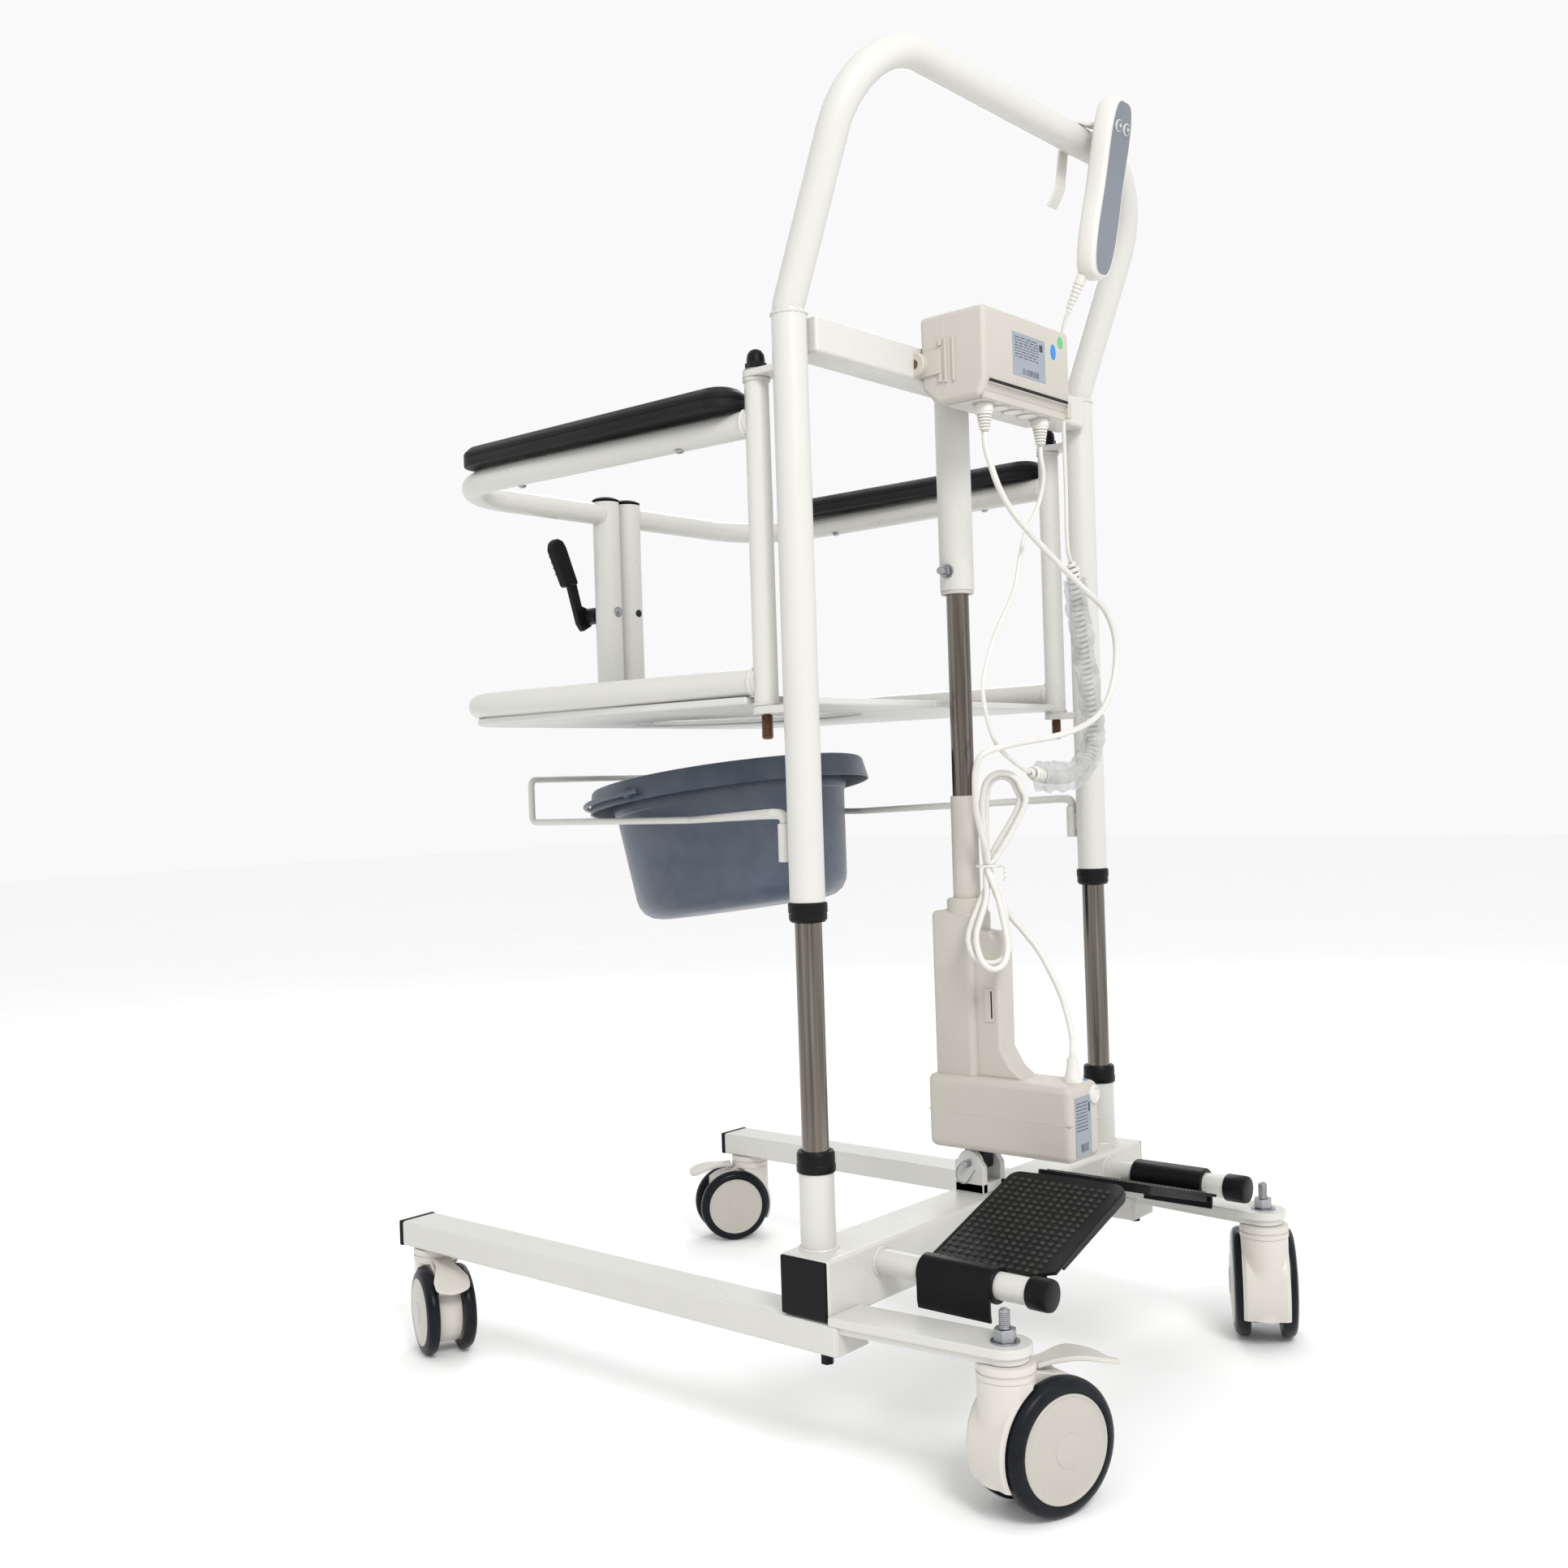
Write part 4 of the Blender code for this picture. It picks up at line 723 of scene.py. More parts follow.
def hinge(side, word):
    """Long hinge bolt with washer and domed nut, bush rings, and the greased thread under the lower ear."""
    at = moved(side * COLUMN_X, HINGE_Y, 0)
    dome = [(0, 1.1045), (0.003, 1.1042), (0.0062, 1.1025), (0.0085, 1.099), (0.0092, 1.095),
            (0.0094, 1.0905)]
    put(turned(f"hinge_dome_{word}", dome, at), "lift_frame", BLACK, f"hinge_bolt_{word}")
    hexagon(f"hinge_nut_{word}", (side * COLUMN_X, HINGE_Y), 0.0112, 1.0835, 1.0905, "lift_frame", BLACK)
    washer = [(0, 1.0835), (0.0128, 1.0835), (0.0132, 1.083), (0.0132, 1.0823), (0, 1.0823)]
    put(turned(f"hinge_washer_{word}", washer, at), "lift_frame", ZINC)
    thread = [(0, 0.7385), *ribs(13, 0.7372, -0.0018, 0.006, 0.0008, (-0.0006, -0.001, -0.0014)),
              (0.0044, 0.7132), (0, 0.7128)]
    put(turned(f"hinge_thread_{word}", thread, at, 32), "lift_frame", COPPER)
    bush = [(0.007, 1.0712), (0.0136, 1.0712), (0.014, 1.0718), (0.014, 1.0742), (0.0136, 1.0747),
            (0.007, 1.0747)]
    for level, drop in (("upper", 0.0), ("lower", 0.3249)):
        profile = [(r, z - drop) for r, z in bush]
        put(turned(f"bush_{level}_{word}", profile, at, closed=True), f"seat_{word}", GREY_DISC)


def footrest(side, word):
    x = side * FOOTREST_X
    cap_start, cap_end = FOOTREST_CAP_Y[word]
    bar = rod(f"footrest_bar_{word}", (x, BEAM_FRONT, FOOTREST_Z), (x, cap_start - 0.001, FOOTREST_Z), 0.013)
    put(bar, "base", WHITE, f"footrest_tube_{word}")
    low, high = -cap_start, -cap_end
    cap = [(0.0128, low), (0.015, low), (0.0154, low + 0.001), (0.0155, high - 0.004), (0.0147, high - 0.001),
           (0.0125, high), (0, high)]
    put(turned(f"footrest_cap_{word}", cap, moved(x, 0, FOOTREST_Z) @ FACE_FRONT), "base", BLACK)


crossbeam()
for hand, hand_word in SIDES:
    leg(hand, hand_word)
    column(hand, hand_word)
    footrest(hand, hand_word)


# ---- Lift frame ----
def crossbar():
    bar = box("crossbar_tube", (-0.2603, -0.0125, 1.093), (0.2603, 0.028, CROSSBAR_TOP), 0.0038, segments=4)
    put(bar, "lift_frame", WHITE, "crossbar")
    at = moved(0, COLUMN_Y, 0)
    drop = [(0.019, 1.0935), (0.019, 0.8775), (0.0182, 0.8762), (0.0152, 0.8762), (0.0152, 1.06), (0, 1.06)]
    put(turned("drop_tube", drop, at), "lift_frame", WHITE)
    weld_ring("drop_weld", (0, COLUMN_Y, 1.0925), 0.019, Matrix(), "lift_frame")

    def cross_rod(name, start_x, end_x, *radii, **options):
        """A piece of the bolt that runs through the drop tube."""
        ends = (start_x, COLUMN_Y, DROP_BOLT_Z), (end_x, COLUMN_Y, DROP_BOLT_Z)
        put(rod(name, *ends, *radii, **options), "lift_frame", ZINC)

    for side, letter in LETTERED:
        cross_rod(f"drop_washer_{letter}", side * 0.0182, side * 0.0198, 0.0082, width=0.0003)
        cross_rod(f"drop_bolt_{letter}", side * 0.0198, side * 0.0252, 0.0066, sides=6, width=0.0007)
    cross_rod("drop_bolt_end", -0.025, -0.0335, 0.0042, 0.004, width=0.0006)
    wiper = [(0.0135, 0.8724), (0.0178, 0.8724), (0.0182, 0.873), (0.0182, 0.8755), (0.0178, 0.876),
             (0.0135, 0.876)]
    put(turned("rod_wiper", wiper, at, closed=True), "lift_frame", PALE)
    rod_shape = [(0, 0.575), (ROD_RADIUS, 0.575), (ROD_RADIUS, 0.915), (0, 0.915)]
    # the rod takes the streaked chrome finish with its painted reflection bands
    put(turned("lift_rod", rod_shape, at), "lift_frame", ROD, "actuator_rod")


def push_handle():
    foot, knee, top = (COLUMN_Y, 1.1303), (COLUMN_Y, 1.138), (HANDLE_TOP_Y, HANDLE_TOP_Z)
    left = [(-COLUMN_X, *point) for point in (foot, knee, top)]
    right = [(COLUMN_X, *point) for point in (top, knee, foot)]
    bent = rounded([*left[1:], *right[:-1]], 0.1, math.radians(4))
    lean = (COLUMN_Y + 0.0003, 1.134)
    path = [left[0], (-COLUMN_X, *lean), *bent, (COLUMN_X, *lean), right[-1]]
    put(sweep("handle_tube", path, HANDLE_RADIUS, 40), "lift_frame", WHITE, "push_handle")


def control_box():
    """Battery and control box: shell, lid seam, strap ear, ridges, port row, label and stickers."""

    def add(obj, finish=PALE, *nodes):
        put(obj, "lift_frame", finish, *nodes)

    side_view = [(-0.013, 1.1595), (-0.0945, 1.1595), (-0.0945, 1.0825), (-0.088, 1.07), (-0.087, 1.064),
                 (-0.033, 1.064), (-0.013, 1.082)]
    shell = prism("control_shell", side_view, -0.087, 0.085, 0.0058, upright=True, segments=6)
    add(shell, PALE, "control_box")
    skirt = [(-0.09, 1.07), (-0.09, 1.0625), (-0.086, 1.062), (-0.086, 1.07)]
    add(prism("control_front_lip", skirt, -0.082, 0.08, 0.0006, upright=True))
    # The lid seam's strip is near-black: painted shade in the seam.
    add(box("control_gasket", (-0.078, -0.0952, 1.079), (0.078, -0.0925, 1.0822), 0.0008), GAP_SHADE)
    add(box("control_gasket_edge_top", (-0.079, -0.0956, 1.0823), (0.079, -0.0925, 1.0832), 0.0003))
    add(box("control_gasket_edge_low", (-0.079, -0.095, 1.0778), (0.079, -0.0925, 1.0788), 0.0003))
    add(box("control_side_lip", (0.0795, -0.0948, 1.064), (0.0868, -0.086, 1.083), 0.0016))
    add(box("control_port_bed", (-0.078, -0.0875, 1.0615), (0.078, -0.04, 1.0645)), GREY_DISC)
    ports = (PLUG_X["motor"], -0.033, -0.0045, 0.024, PLUG_X["handset"])
    for i, x in enumerate(ports):
        at = moved(x, PLUG_Y, 0)
        well = [(0.0105, 1.0618), (0.0122, 1.0616), (0.0126, 1.0606), (0.0105, 1.0606)]
        add(turned(f"port_rim_{i}", well, at, closed=True))
        if x not in PLUG_X.values():
            cap = [(0, 1.06), (0.0085, 1.0598), (0.0102, 1.0604), (0.0104, 1.0618), (0, 1.0618)]
            add(turned(f"port_cap_{i}", cap, at), PORCELAIN)
    for letter, y in (("a", -0.056), ("b", -0.046)):
        low, high = (-0.0892, y - 0.0015, 1.085), (-0.0868, y + 0.0012, 1.132)
        add(box(f"control_ridge_{letter}", low, high, 0.0007))
    add(box("control_side_seam", (-0.0873, -0.044, 1.069), (-0.0868, -0.0434, 1.1555), 0.0001), GREY_DISC)
    add(box("clip_upper", (-0.0895, -0.0415, 1.125), (-0.0868, -0.0375, 1.132), 0.0006))
    add(box("clip_lower", (-0.0895, -0.0415, 1.086), (-0.0868, -0.0375, 1.095), 0.0006))
    add(box("control_strap", (-0.0896, -0.04, 1.0952), (-0.0866, -0.006, 1.1208), 0.0008))
    ear = moved(-0.0945, -0.0125, 1.108) @ FACE_RIGHT
    eye = [(0.0048, -0.0032), (0.0058, -0.0042), (0.0118, -0.0042), (0.013, -0.003), (0.013, 0.009),
           (0.0048, 0.009)]
    add(turned("control_ear", eye, ear, closed=True))
    screw = [(0, -0.0036), (0.0035, -0.0034), (0.0058, -0.002), (0.0058, 0.001), (0, 0.001)]
    add(turned("control_ear_screw", screw, ear, 32), COPPER)
    label("control_label", (0.0, -0.0945, 1.117), 0.065, 0.046, "lift_frame", 8)
    stickers = (("blue_oval", 0.05, 1.132, 0.0085, BLUE), ("green_oval", 0.0655, 1.145, 0.0065, GREEN))
    for name, x, z, half_height, finish in stickers:
        outline = [(x + 0.0052 * c, z + half_height * s) for c, s in circle(40)]
        add(prism(name, outline, 0.0, 0.0006, 0, moved(0, -0.0949, 0) @ STAND_UP), finish)


def label(name, centre, width, height, body, rows):
    """A generic data label: a pale blue-grey plate with plain bars in place of any text."""
    place = Matrix.Translation(centre) @ FACE_FRONT
    low, high = (-width / 2, -height / 2, -0.0002), (width / 2, height / 2, 0.0004)
    put(box(f"{name}_plate", low, high, 0.0002, place, 1), body, LABEL)
    bars = []
    for row in range(rows):
        y = height * (0.4 - 0.52 * row / rows)
        x = -width * 0.44
        while x < width * 0.25:
            run = width * DICE.uniform(0.05, 0.16)
            bars.append((x, min(x + run, width * 0.28), y - height * 0.009, y + height * 0.009))
            x += run + width * 0.035
    for k in range(14):
        x = -width * 0.2 + width * 0.5 * k / 14
        bars.append((x, x + width * DICE.uniform(0.006, 0.02), -height * 0.44, -height * 0.3))
    bars.append((width * 0.32, width * 0.42, height * 0.22, height * 0.38))
    shape = bmesh.new()
    for x0, x1, y0, y1 in bars:
        corners = (x0, y0), (x1, y0), (x1, y1), (x0, y1)
        shape.faces.new(ring(shape, [(x, y, 0.00055) for x, y in corners]))
    put(from_bmesh(f"{name}_bars", shape, place), body, PRINT)


def housing():
    """The actuator's fixed body with its rounded top, nose, slot panel and stepped neck."""
    body = box("housing_body", (-0.023, -0.01, 0.335), (0.023, 0.043, 0.521), 0.0065, segments=5)
    bore = rod("housing_bore", (0, COLUMN_Y, 0.345), (0, COLUMN_Y, 0.56), 0.0134)
    put(bored(body, bore), "base", PALE, "actuator_housing")
    neck = [(0.0133, 0.648), (0.0145, 0.648), (0.015, 0.647), (0.0152, 0.535), (0.0205, 0.5345),
            (0.0225, 0.5325), (0.0228, 0.515), (0.0133, 0.515)]
    put(turned("housing_neck", neck, moved(0, COLUMN_Y, 0), closed=True), "base", PALE)
    side_view = [(-0.006, 0.5), (-0.03, 0.498), (-0.0375, 0.49), (-0.04, 0.478), (-0.04, 0.372),
                 (-0.052, 0.352), (-0.07, 0.338), (-0.006, 0.338)]
    put(prism("housing_nose", side_view, -0.016, 0.016, 0.0035, upright=True, segments=4), "base", PALE)
    for side, letter in LETTERED:
        for name, proud, low, high, width, finish in (
            ("panel", 0.0171, (-0.0335, 0.4), (-0.0215, 0.437), 0.0003, PALE),
            # the slot is a near-black box: painted shade in the slot
            ("slot", 0.0173, (-0.0318, 0.404), (-0.03, 0.434), 0.0001, GAP_SHADE),
        ):
            x0, x1 = sorted((side * 0.0162, side * proud))
            put(box(f"nose_{name}_{letter}", (x0, *low), (x1, *high), width), "base", finish)


def motor_box():
    shell = box("motor_shell", (-0.03, -0.133, 0.2583), (0.032, 0.05, 0.34), 0.0085, segments=6)
    put(shell, "base", PALE, "motor_cover")
    put(box("motor_seam", (-0.0303, -0.1333, 0.2995), (0.0323, 0.0503, 0.3001), 0.0001), "base", GREY_DISC)
    gland = [(0, 0.3662), (0.0046, 0.3662), (0.006, 0.365), (0.0064, 0.356), (0.0088, 0.346),
             (0.0104, 0.342), (0.0108, 0.3395), (0, 0.3395)]
    put(turned("motor_gland", gland, moved(0.005, -0.117, 0)), "base", PORCELAIN)
    dot = [(0, 0.3407), (0.0052, 0.3406), (0.0055, 0.34), (0, 0.3399)]
    put(turned("motor_blue_dot", dot, moved(0.019, -0.12, 0)), "base", BLUE)
    cap = [(0, 0.0026), (0.0048, 0.0026), (0.0056, 0.0016), (0.0068, 0.0016), (0.0076, 0.003),
           (0.0094, 0.0024), (0.01, 0), (0, 0)]
    put(turned("motor_cap", cap, moved(0.019, -0.133, 0.326) @ FACE_FRONT), "base", PORCELAIN)
    label("motor_label", (-0.004, -0.1332, 0.296), 0.032, 0.062, "base", 9)
    # The motor's eye between the clevis cheeks is in black moulding: painted shade for the space between the
    # cheeks.
    put(box("motor_eye", (-0.011, -0.01, 0.2345), (0.011, 0.016, 0.26), 0.004, segments=4), "base", BLACK)


def clevis():
    pin_y, pin_z = 0.0025, 0.243
    side_view = [(-0.016, BEAM_TOP), (0.021, BEAM_TOP), (0.021, 0.245),
                 *arc((pin_y, pin_z), 0.0145, 10, 170, 14), (-0.016, 0.24)]
    for side, letter in LETTERED:
        x0, x1 = sorted((side * 0.013, side * 0.022))
        cheek = prism(f"clevis_cheek_{letter}", side_view, x0, x1, 0.0008, upright=True)
        put(cheek, "base", BRACKET, "clevis")
    put(box("clevis_foot", (-0.022, -0.016, BEAM_TOP), (0.022, 0.021, 0.2215), 0.0012), "base", BRACKET)
    put(rod("clevis_pin", (-0.031, pin_y, pin_z), (0.027, pin_y, pin_z), 0.004, width=0.0008), "base", ZINC)
    loop = [(-0.008, 0.249), (-0.001, 0.247), (0.006, 0.243), (0.012, 0.234), (0.01, 0.224), (0.001, 0.222),
            (-0.006, 0.229), (-0.012, 0.238)]
    clip = flow([(-0.0285, pin_y + y, z) for y, z in loop], 0.0015)
    put(sweep("clevis_clip", clip, 0.0009, 10), "base", ZINC)


def bucket_rack():
    """The pan's wire rack, thinner where it stands out past the columns."""
    half = [(COLUMN_X, 0.034, 0.5945), (COLUMN_X, 0.034, 0.637), (COLUMN_X, 0.05, 0.638),
            (0.16, 0.277, 0.6295), (0.16, 0.553, 0.6295), (0.16, 0.553, 0.683)]
    path = rounded([*[(-x, y, z) for x, y, z in half], *half[::-1]], 0.008, math.radians(9))
    radii = [1.0 if abs(point.x) > 0.17 else 0.78 for point in path]
    put(sweep("rack_rod", path, 0.0052, 20, radii), "lift_frame", WHITE, "bucket_rack")


# ---- Seat halves ----
def rail_path(side, z):
    """From the hinge tube along the side, round the rear corner and in to the latch post."""
    x = side * RAIL_SIDE_X
    corners = [(side * (COLUMN_X + 0.001), HINGE_Y + 0.006, z), (x, RAIL_REAR_Y - 0.15, z),
               (x, RAIL_REAR_Y, z), (side * (LATCH_POST_X + 0.002), RAIL_REAR_Y, z)]
    return [*rounded(corners[:3], 0.2)[:-1], *rounded(corners[1:], 0.1, math.radians(5))[1:]]


def seat_half(side, word):
    body = f"seat_{word}"
    sleeve = [(0.0125, 0.7463), (0.0125, 1.0715), (0.0072, 1.0715), (0.0072, 0.7463)]
    tube = turned(f"hinge_tube_{word}", sleeve, moved(side * COLUMN_X, HINGE_Y, 0), closed=True)
    put(tube, body, WHITE, f"seat_frame_{word}")
    for rail, z in (("arm", ARM_RAIL_Z), ("seat", SEAT_RAIL_Z)):
        put(sweep(f"{rail}_rail_{word}", rail_path(side, z), RAIL_RADIUS, 32), body, WHITE)
        root = (side * (COLUMN_X + 0.0018), HINGE_Y + 0.0112, z)
        weld_ring(f"{rail}_weld_{word}", root, 0.0137, FACE_FRONT, body)
        end = (side * (LATCH_POST_X + 0.0155), RAIL_REAR_Y, z)
        weld_ring(f"{rail}_post_weld_{word}", end, 0.0137, FACE_RIGHT, body)
    latch_post(side, word, body)
    for k, y in enumerate((0.155, 0.405)):
        turn = moved(side * 0.286, y, ARM_RAIL_Z - 0.0135) @ Matrix.Rotation(math.pi, 4, "X")
        head = [(0, 0.0028), (0.0022, 0.0027), (0.0045, 0.0014), (0.0052, 0), (0, -0.001)]
        put(turned(f"pad_screw_{word}_{k}", head, turn, 24), body, ZINC)
    board(side, word, body)
    pad(side, word, body)


def latch_post(side, word, body):
    """The upright that carries the latch: the left one has the bolt's end, the right one its hole."""
    post = moved(side * LATCH_POST_X, RAIL_REAR_Y, 0)
    tube = [(0.0172, 0.7577), (0.0176, 0.7582), (0.0176, 1.0468), (0.0172, 1.0472), (0, 1.0472), (0, 0.7577)]
    put(turned(f"latch_post_{word}", tube, post, closed=True), body, WHITE)
    cap = [(0, 1.0535), (0.0115, 1.0532), (0.016, 1.0518), (0.0181, 1.05), (0.0181, 1.0488), (0.016, 1.0484),
           (0.016, 1.0476), (0.0178, 1.0473), (0, 1.0472)]
    put(turned(f"post_cap_{word}", cap, post), body, BLACK)
    front = moved(side * LATCH_POST_X, RAIL_REAR_Y - 0.0174, 0.9015) @ FACE_FRONT
    if side < 0:
        bolt = [(0, 0.003), (0.0028, 0.003), (0.003, 0.0018), (0.0058, 0.0022), (0.0066, 0.001),
                (0.0066, -0.001), (0, -0.001)]
        put(turned("latch_bolt", bolt, front), body, ZINC)
    else:
        # the hole is a near-black disc: painted shade in the hole
        hole = [(0, 0.0003), (0.005, 0.0002), (0.0052, -0.0012), (0, -0.0012)]
        put(turned("latch_hole", hole, front), body, GAP_SHADE)


def board(side, word, body):
    """Half of the seat panel with half of the oval opening and a softly rounded edge."""
    outer, rear, front, split = RAIL_SIDE_X, RAIL_REAR_Y + 0.006, 0.045, 0.0015
    opening = [(max(split, 0.1 * u), 0.33 + 0.165 * v) for u, v in arc((0.0, 0.0), 1.0, 89, -89, 44)]
    outline = [(outer, 0.07), *arc((outer - 0.1, rear - 0.1), 0.1, 0, 90, 20), (split, rear), *opening,
               (split, front), (COLUMN_X - 0.017, front), (COLUMN_X - 0.017, 0.07)]
    panel = prism(f"seat_panel_{word}", mirrored(side, outline), 0.7488, 0.7566, 0.0022, segments=4)
    put(panel, body, BOARD, f"seat_board_{word}")


def pad(side, word, body):
    """The firm arm pad: a bevelled and slightly crowned top, a parting line and rounded ends."""

    def outline(inset):
        x0, x1, y0, y1 = 0.257 + inset, 0.315 - inset, 0.0685 + inset, 0.49 - inset
        r = max(0.004, 0.027 - inset)
        corners = ((x1 - r, y0 + r, -90), (x1 - r, y1 - r, 0), (x0 + r, y1 - r, 90), (x0 + r, y0 + r, 180))
        return [point for x, y, start in corners for point in arc((x, y), r, start, start + 90, 10)]

    levels = [(0.002, 1.0456), (0.0004, 1.0464), (0.0, 1.048), (0.0, 1.0556), (0.0007, 1.0562), (0.0, 1.0568),
              (0.0, 1.0604), (0.0012, 1.0626), (0.007, 1.068), (0.0085, 1.0689), (0.013, 1.0697),
              (0.02, 1.0703)]
    shape = bmesh.new()
    skin(shape, [ring(shape, [(side * x, y, z) for x, y in outline(inset)]) for inset, z in levels])
    cushion = put(from_bmesh(f"arm_cushion_{word}", shape, sharp=50), body, VINYL, f"arm_pad_{word}")


def latch_lever():
    hub = [(0, 0), (0.01, 0), (0.011, 0.001), (0.011, 0.0325), (0.0098, 0.0337), (0, 0.0337)]
    at = moved(-LATCH_POST_X, 0.5683, LATCH_Z) @ Matrix.Rotation(-math.pi / 2, 4, "X")
    put(turned("latch_hub", hub, at), "latch", BLACK, "latch_lever")
    y0, y1 = 0.587, 0.601
    shank = [(-0.013, 0.888), (-0.028, 0.88), (-0.036, 0.89), (-0.0525, 0.946), (-0.04, 0.95),
             (-0.03, 0.914), (-0.013, 0.909)]
    put(prism("latch_shank", shank, y0 + 0.0025, y1 - 0.0025, 0.0015, STAND_UP), "latch", BLACK)
    grip = [(-0.036, 0.942), (-0.058, 0.936), (-0.08, 0.984), (-0.079, 0.994), (-0.0715, 1.0005),
            (-0.062, 0.999), (-0.056, 0.99)]
    put(prism("latch_grip", grip, y0 - 0.001, y1 + 0.001, 0.0045, STAND_UP, segments=5), "latch", BLACK)
    for k in range(4):
        drop = k * 0.0075
        near, far = drop * 0.45, drop * 0.3
        rib = [(near - 0.0745, 0.978 - drop), (far - 0.056, 0.9835 - drop), (far - 0.0565, 0.9815 - drop),
               (near - 0.075, 0.976 - drop)]
        put(prism(f"latch_rib_{k}", rib, y0 - 0.0018, y1 + 0.0018, 0.0004, STAND_UP), "latch", BLACK)


# ---- Footplates ----
PLATE_FRONT, PLATE_REAR, STUD_PITCH = -0.206, -0.072, 0.0092


def footplate(side, word):
    """A folding plate: a sleeve that turns down into a skirt, a ribbed plate and a studded tread."""
    body = f"footplate_{word}"
    x = side * FOOTREST_X
    rear_y, front_y = PLATE_SLEEVE_Y[word]
    sleeve = [(0.0136, -rear_y), (0.0166, -rear_y), (0.0175, 0.001 - rear_y), (0.0175, -front_y - 0.001),
              (0.0166, -front_y), (0.0136, -front_y)]
    tube = turned(f"plate_sleeve_{word}", sleeve, moved(x, 0, FOOTREST_Z) @ FACE_FRONT, closed=True)
    put(tube, body, BLACK, f"footplate_{word}")
    skirt = [*arc((0.0, 0.0), 0.0179, 75, 0, 14), (0.0176, -0.025), (0.016, -0.032), (0.0128, -0.032),
             (0.0138, -0.024), (0.0142, -0.011), *arc((0.0, 0.0), 0.015, 0, 70, 10)]
    outline = [(x + side * u, FOOTREST_Z + w) for u, w in skirt]
    skirt = prism(f"plate_skirt_{word}", outline, front_y + 0.0015, rear_y - 0.001, 0.0008, STAND_UP)
    put(skirt, body, BLACK)
    lean = Matrix.Rotation(side * FOOTREST_TILT[word], 4, "Y")
    tilt = moved(x, PLATE_SHIFT_Y[word], TREAD_TOP[word]) @ lean
    reach = FOOTREST_REACH[word]
    middle = (PLATE_FRONT + PLATE_REAR) / 2
    edge = [*arc((reach - 0.0115, PLATE_REAR - 0.01), 0.01, 90, 6, 8), (reach + 0.0008, middle),
            *arc((reach - 0.015, PLATE_FRONT + 0.016), 0.016, -6, -90, 9)]
    outline = [*edge, (0.034, -0.2105), (0.012, -0.165), (0.012, -0.078)]
    put(prism(f"plate_tread_{word}", mirrored(-side, outline), -0.0035, 0.0, 0.0012, tilt), body, BLACK)
    rim = [(0.014, PLATE_REAR - 0.002), *[(u - 0.0015, v) for u, v in edge], (0.052, PLATE_FRONT)]
    path = [Vector((-side * u, v, -0.0052)) for u, v in rim]
    wall = strip(f"plate_rim_{word}", path, Vector((0, 0, 1)), 0.0048, 0.0026, tilt, 0.0006, 35)
    put(wall, body, BLACK)

    def lower_rib(name, start_u, end_u, start_v, end_v):
        low_u, high_u = sorted((-side * start_u, -side * end_u))
        put(box(name, (low_u, start_v, -0.0092), (high_u, end_v, -0.003), 0.0004, tilt, 1), body, BLACK)

    for k in range(7):
        u = 0.028 + (reach - 0.045) * k / 6
        lower_rib(f"plate_rib_{word}_{k}", u, u + 0.0025, PLATE_FRONT + 0.004, PLATE_REAR - 0.004)
    for k, v in enumerate((-0.1, -0.14, -0.18)):
        lower_rib(f"plate_cross_{word}_{k}", 0.02, reach - 0.004, v - 0.0012, v + 0.0012)
    shape = bmesh.new()
    for i in range(int((reach - 0.034) / STUD_PITCH)):
        for j in range(14):
            u, v = 0.028 + i * STUD_PITCH, -0.081 - j * STUD_PITCH
            # clear of the plate's rounded corners and of its cut-off corner
            past_u, past_v = max(0.0, u - (reach - 0.022)), max(0.0, abs(v - middle) - 0.045)
            cut_off = u < 0.045 and v < -0.196
            if v > PLATE_FRONT + 0.006 and not cut_off and math.hypot(past_u, past_v) < 0.017:
                stud(shape, Vector((-side * u, v, 0.0)), 0.0026, 0.0011)
    put(from_bmesh(f"plate_studs_{word}", shape, tilt, sharp=60), body, STUD)


def stud(shape, centre, radius, height):
    """One raised ring of the non-slip tread with a low dome in its middle."""
    rings = []
    for size, level in ((1.0, 0.0), (0.9, 1.0), (0.72, 1.0), (0.6, 0.25), (0.35, 0.4), (0.12, 0.55)):
        reach = radius * size
        points = [centre + Vector((reach * c, reach * s, height * level)) for c, s in circle(10)]
        rings.append(ring(shape, points))
    skin(shape, rings, ends=False)
    shape.faces.new(rings[-1])


# ---- Casters ----
# profiles of the tyre as (share of the radius, extra radius, share of the width), and of the wheel's face
# as (share of the radius, share of the width)
TREAD = [(0.78, 0.0, 0.0), (1.0, -0.004, 0.0), (1.0, -0.001, 0.06), (1.0, 0.0, 0.2), (1.0, 0.0, 0.42),
         (1.0, -0.0006, 0.56), (1.0, -0.0024, 0.7), (1.0, -0.0052, 0.77), (1.0, -0.0086, 0.815),
         (0.805, 0.0005, 0.825), (0.79, 0.0, 0.79), (0.78, 0.0, 0.7)]
WHEEL_FACE = [(0.0, 0.05), (0.782, 0.05), (0.782, 0.74), (0.787, 0.815), (0.777, 0.845), (0.755, 0.85),
              (0.74, 0.815), (0.72, 0.81), (0.62, 0.865), (0.5, 0.912), (0.38, 0.942), (0.262, 0.958),
              (0.252, 0.958), (0.246, 0.985), (0.236, 0.992), (0.12, 0.998), (0.0, 1.0)]


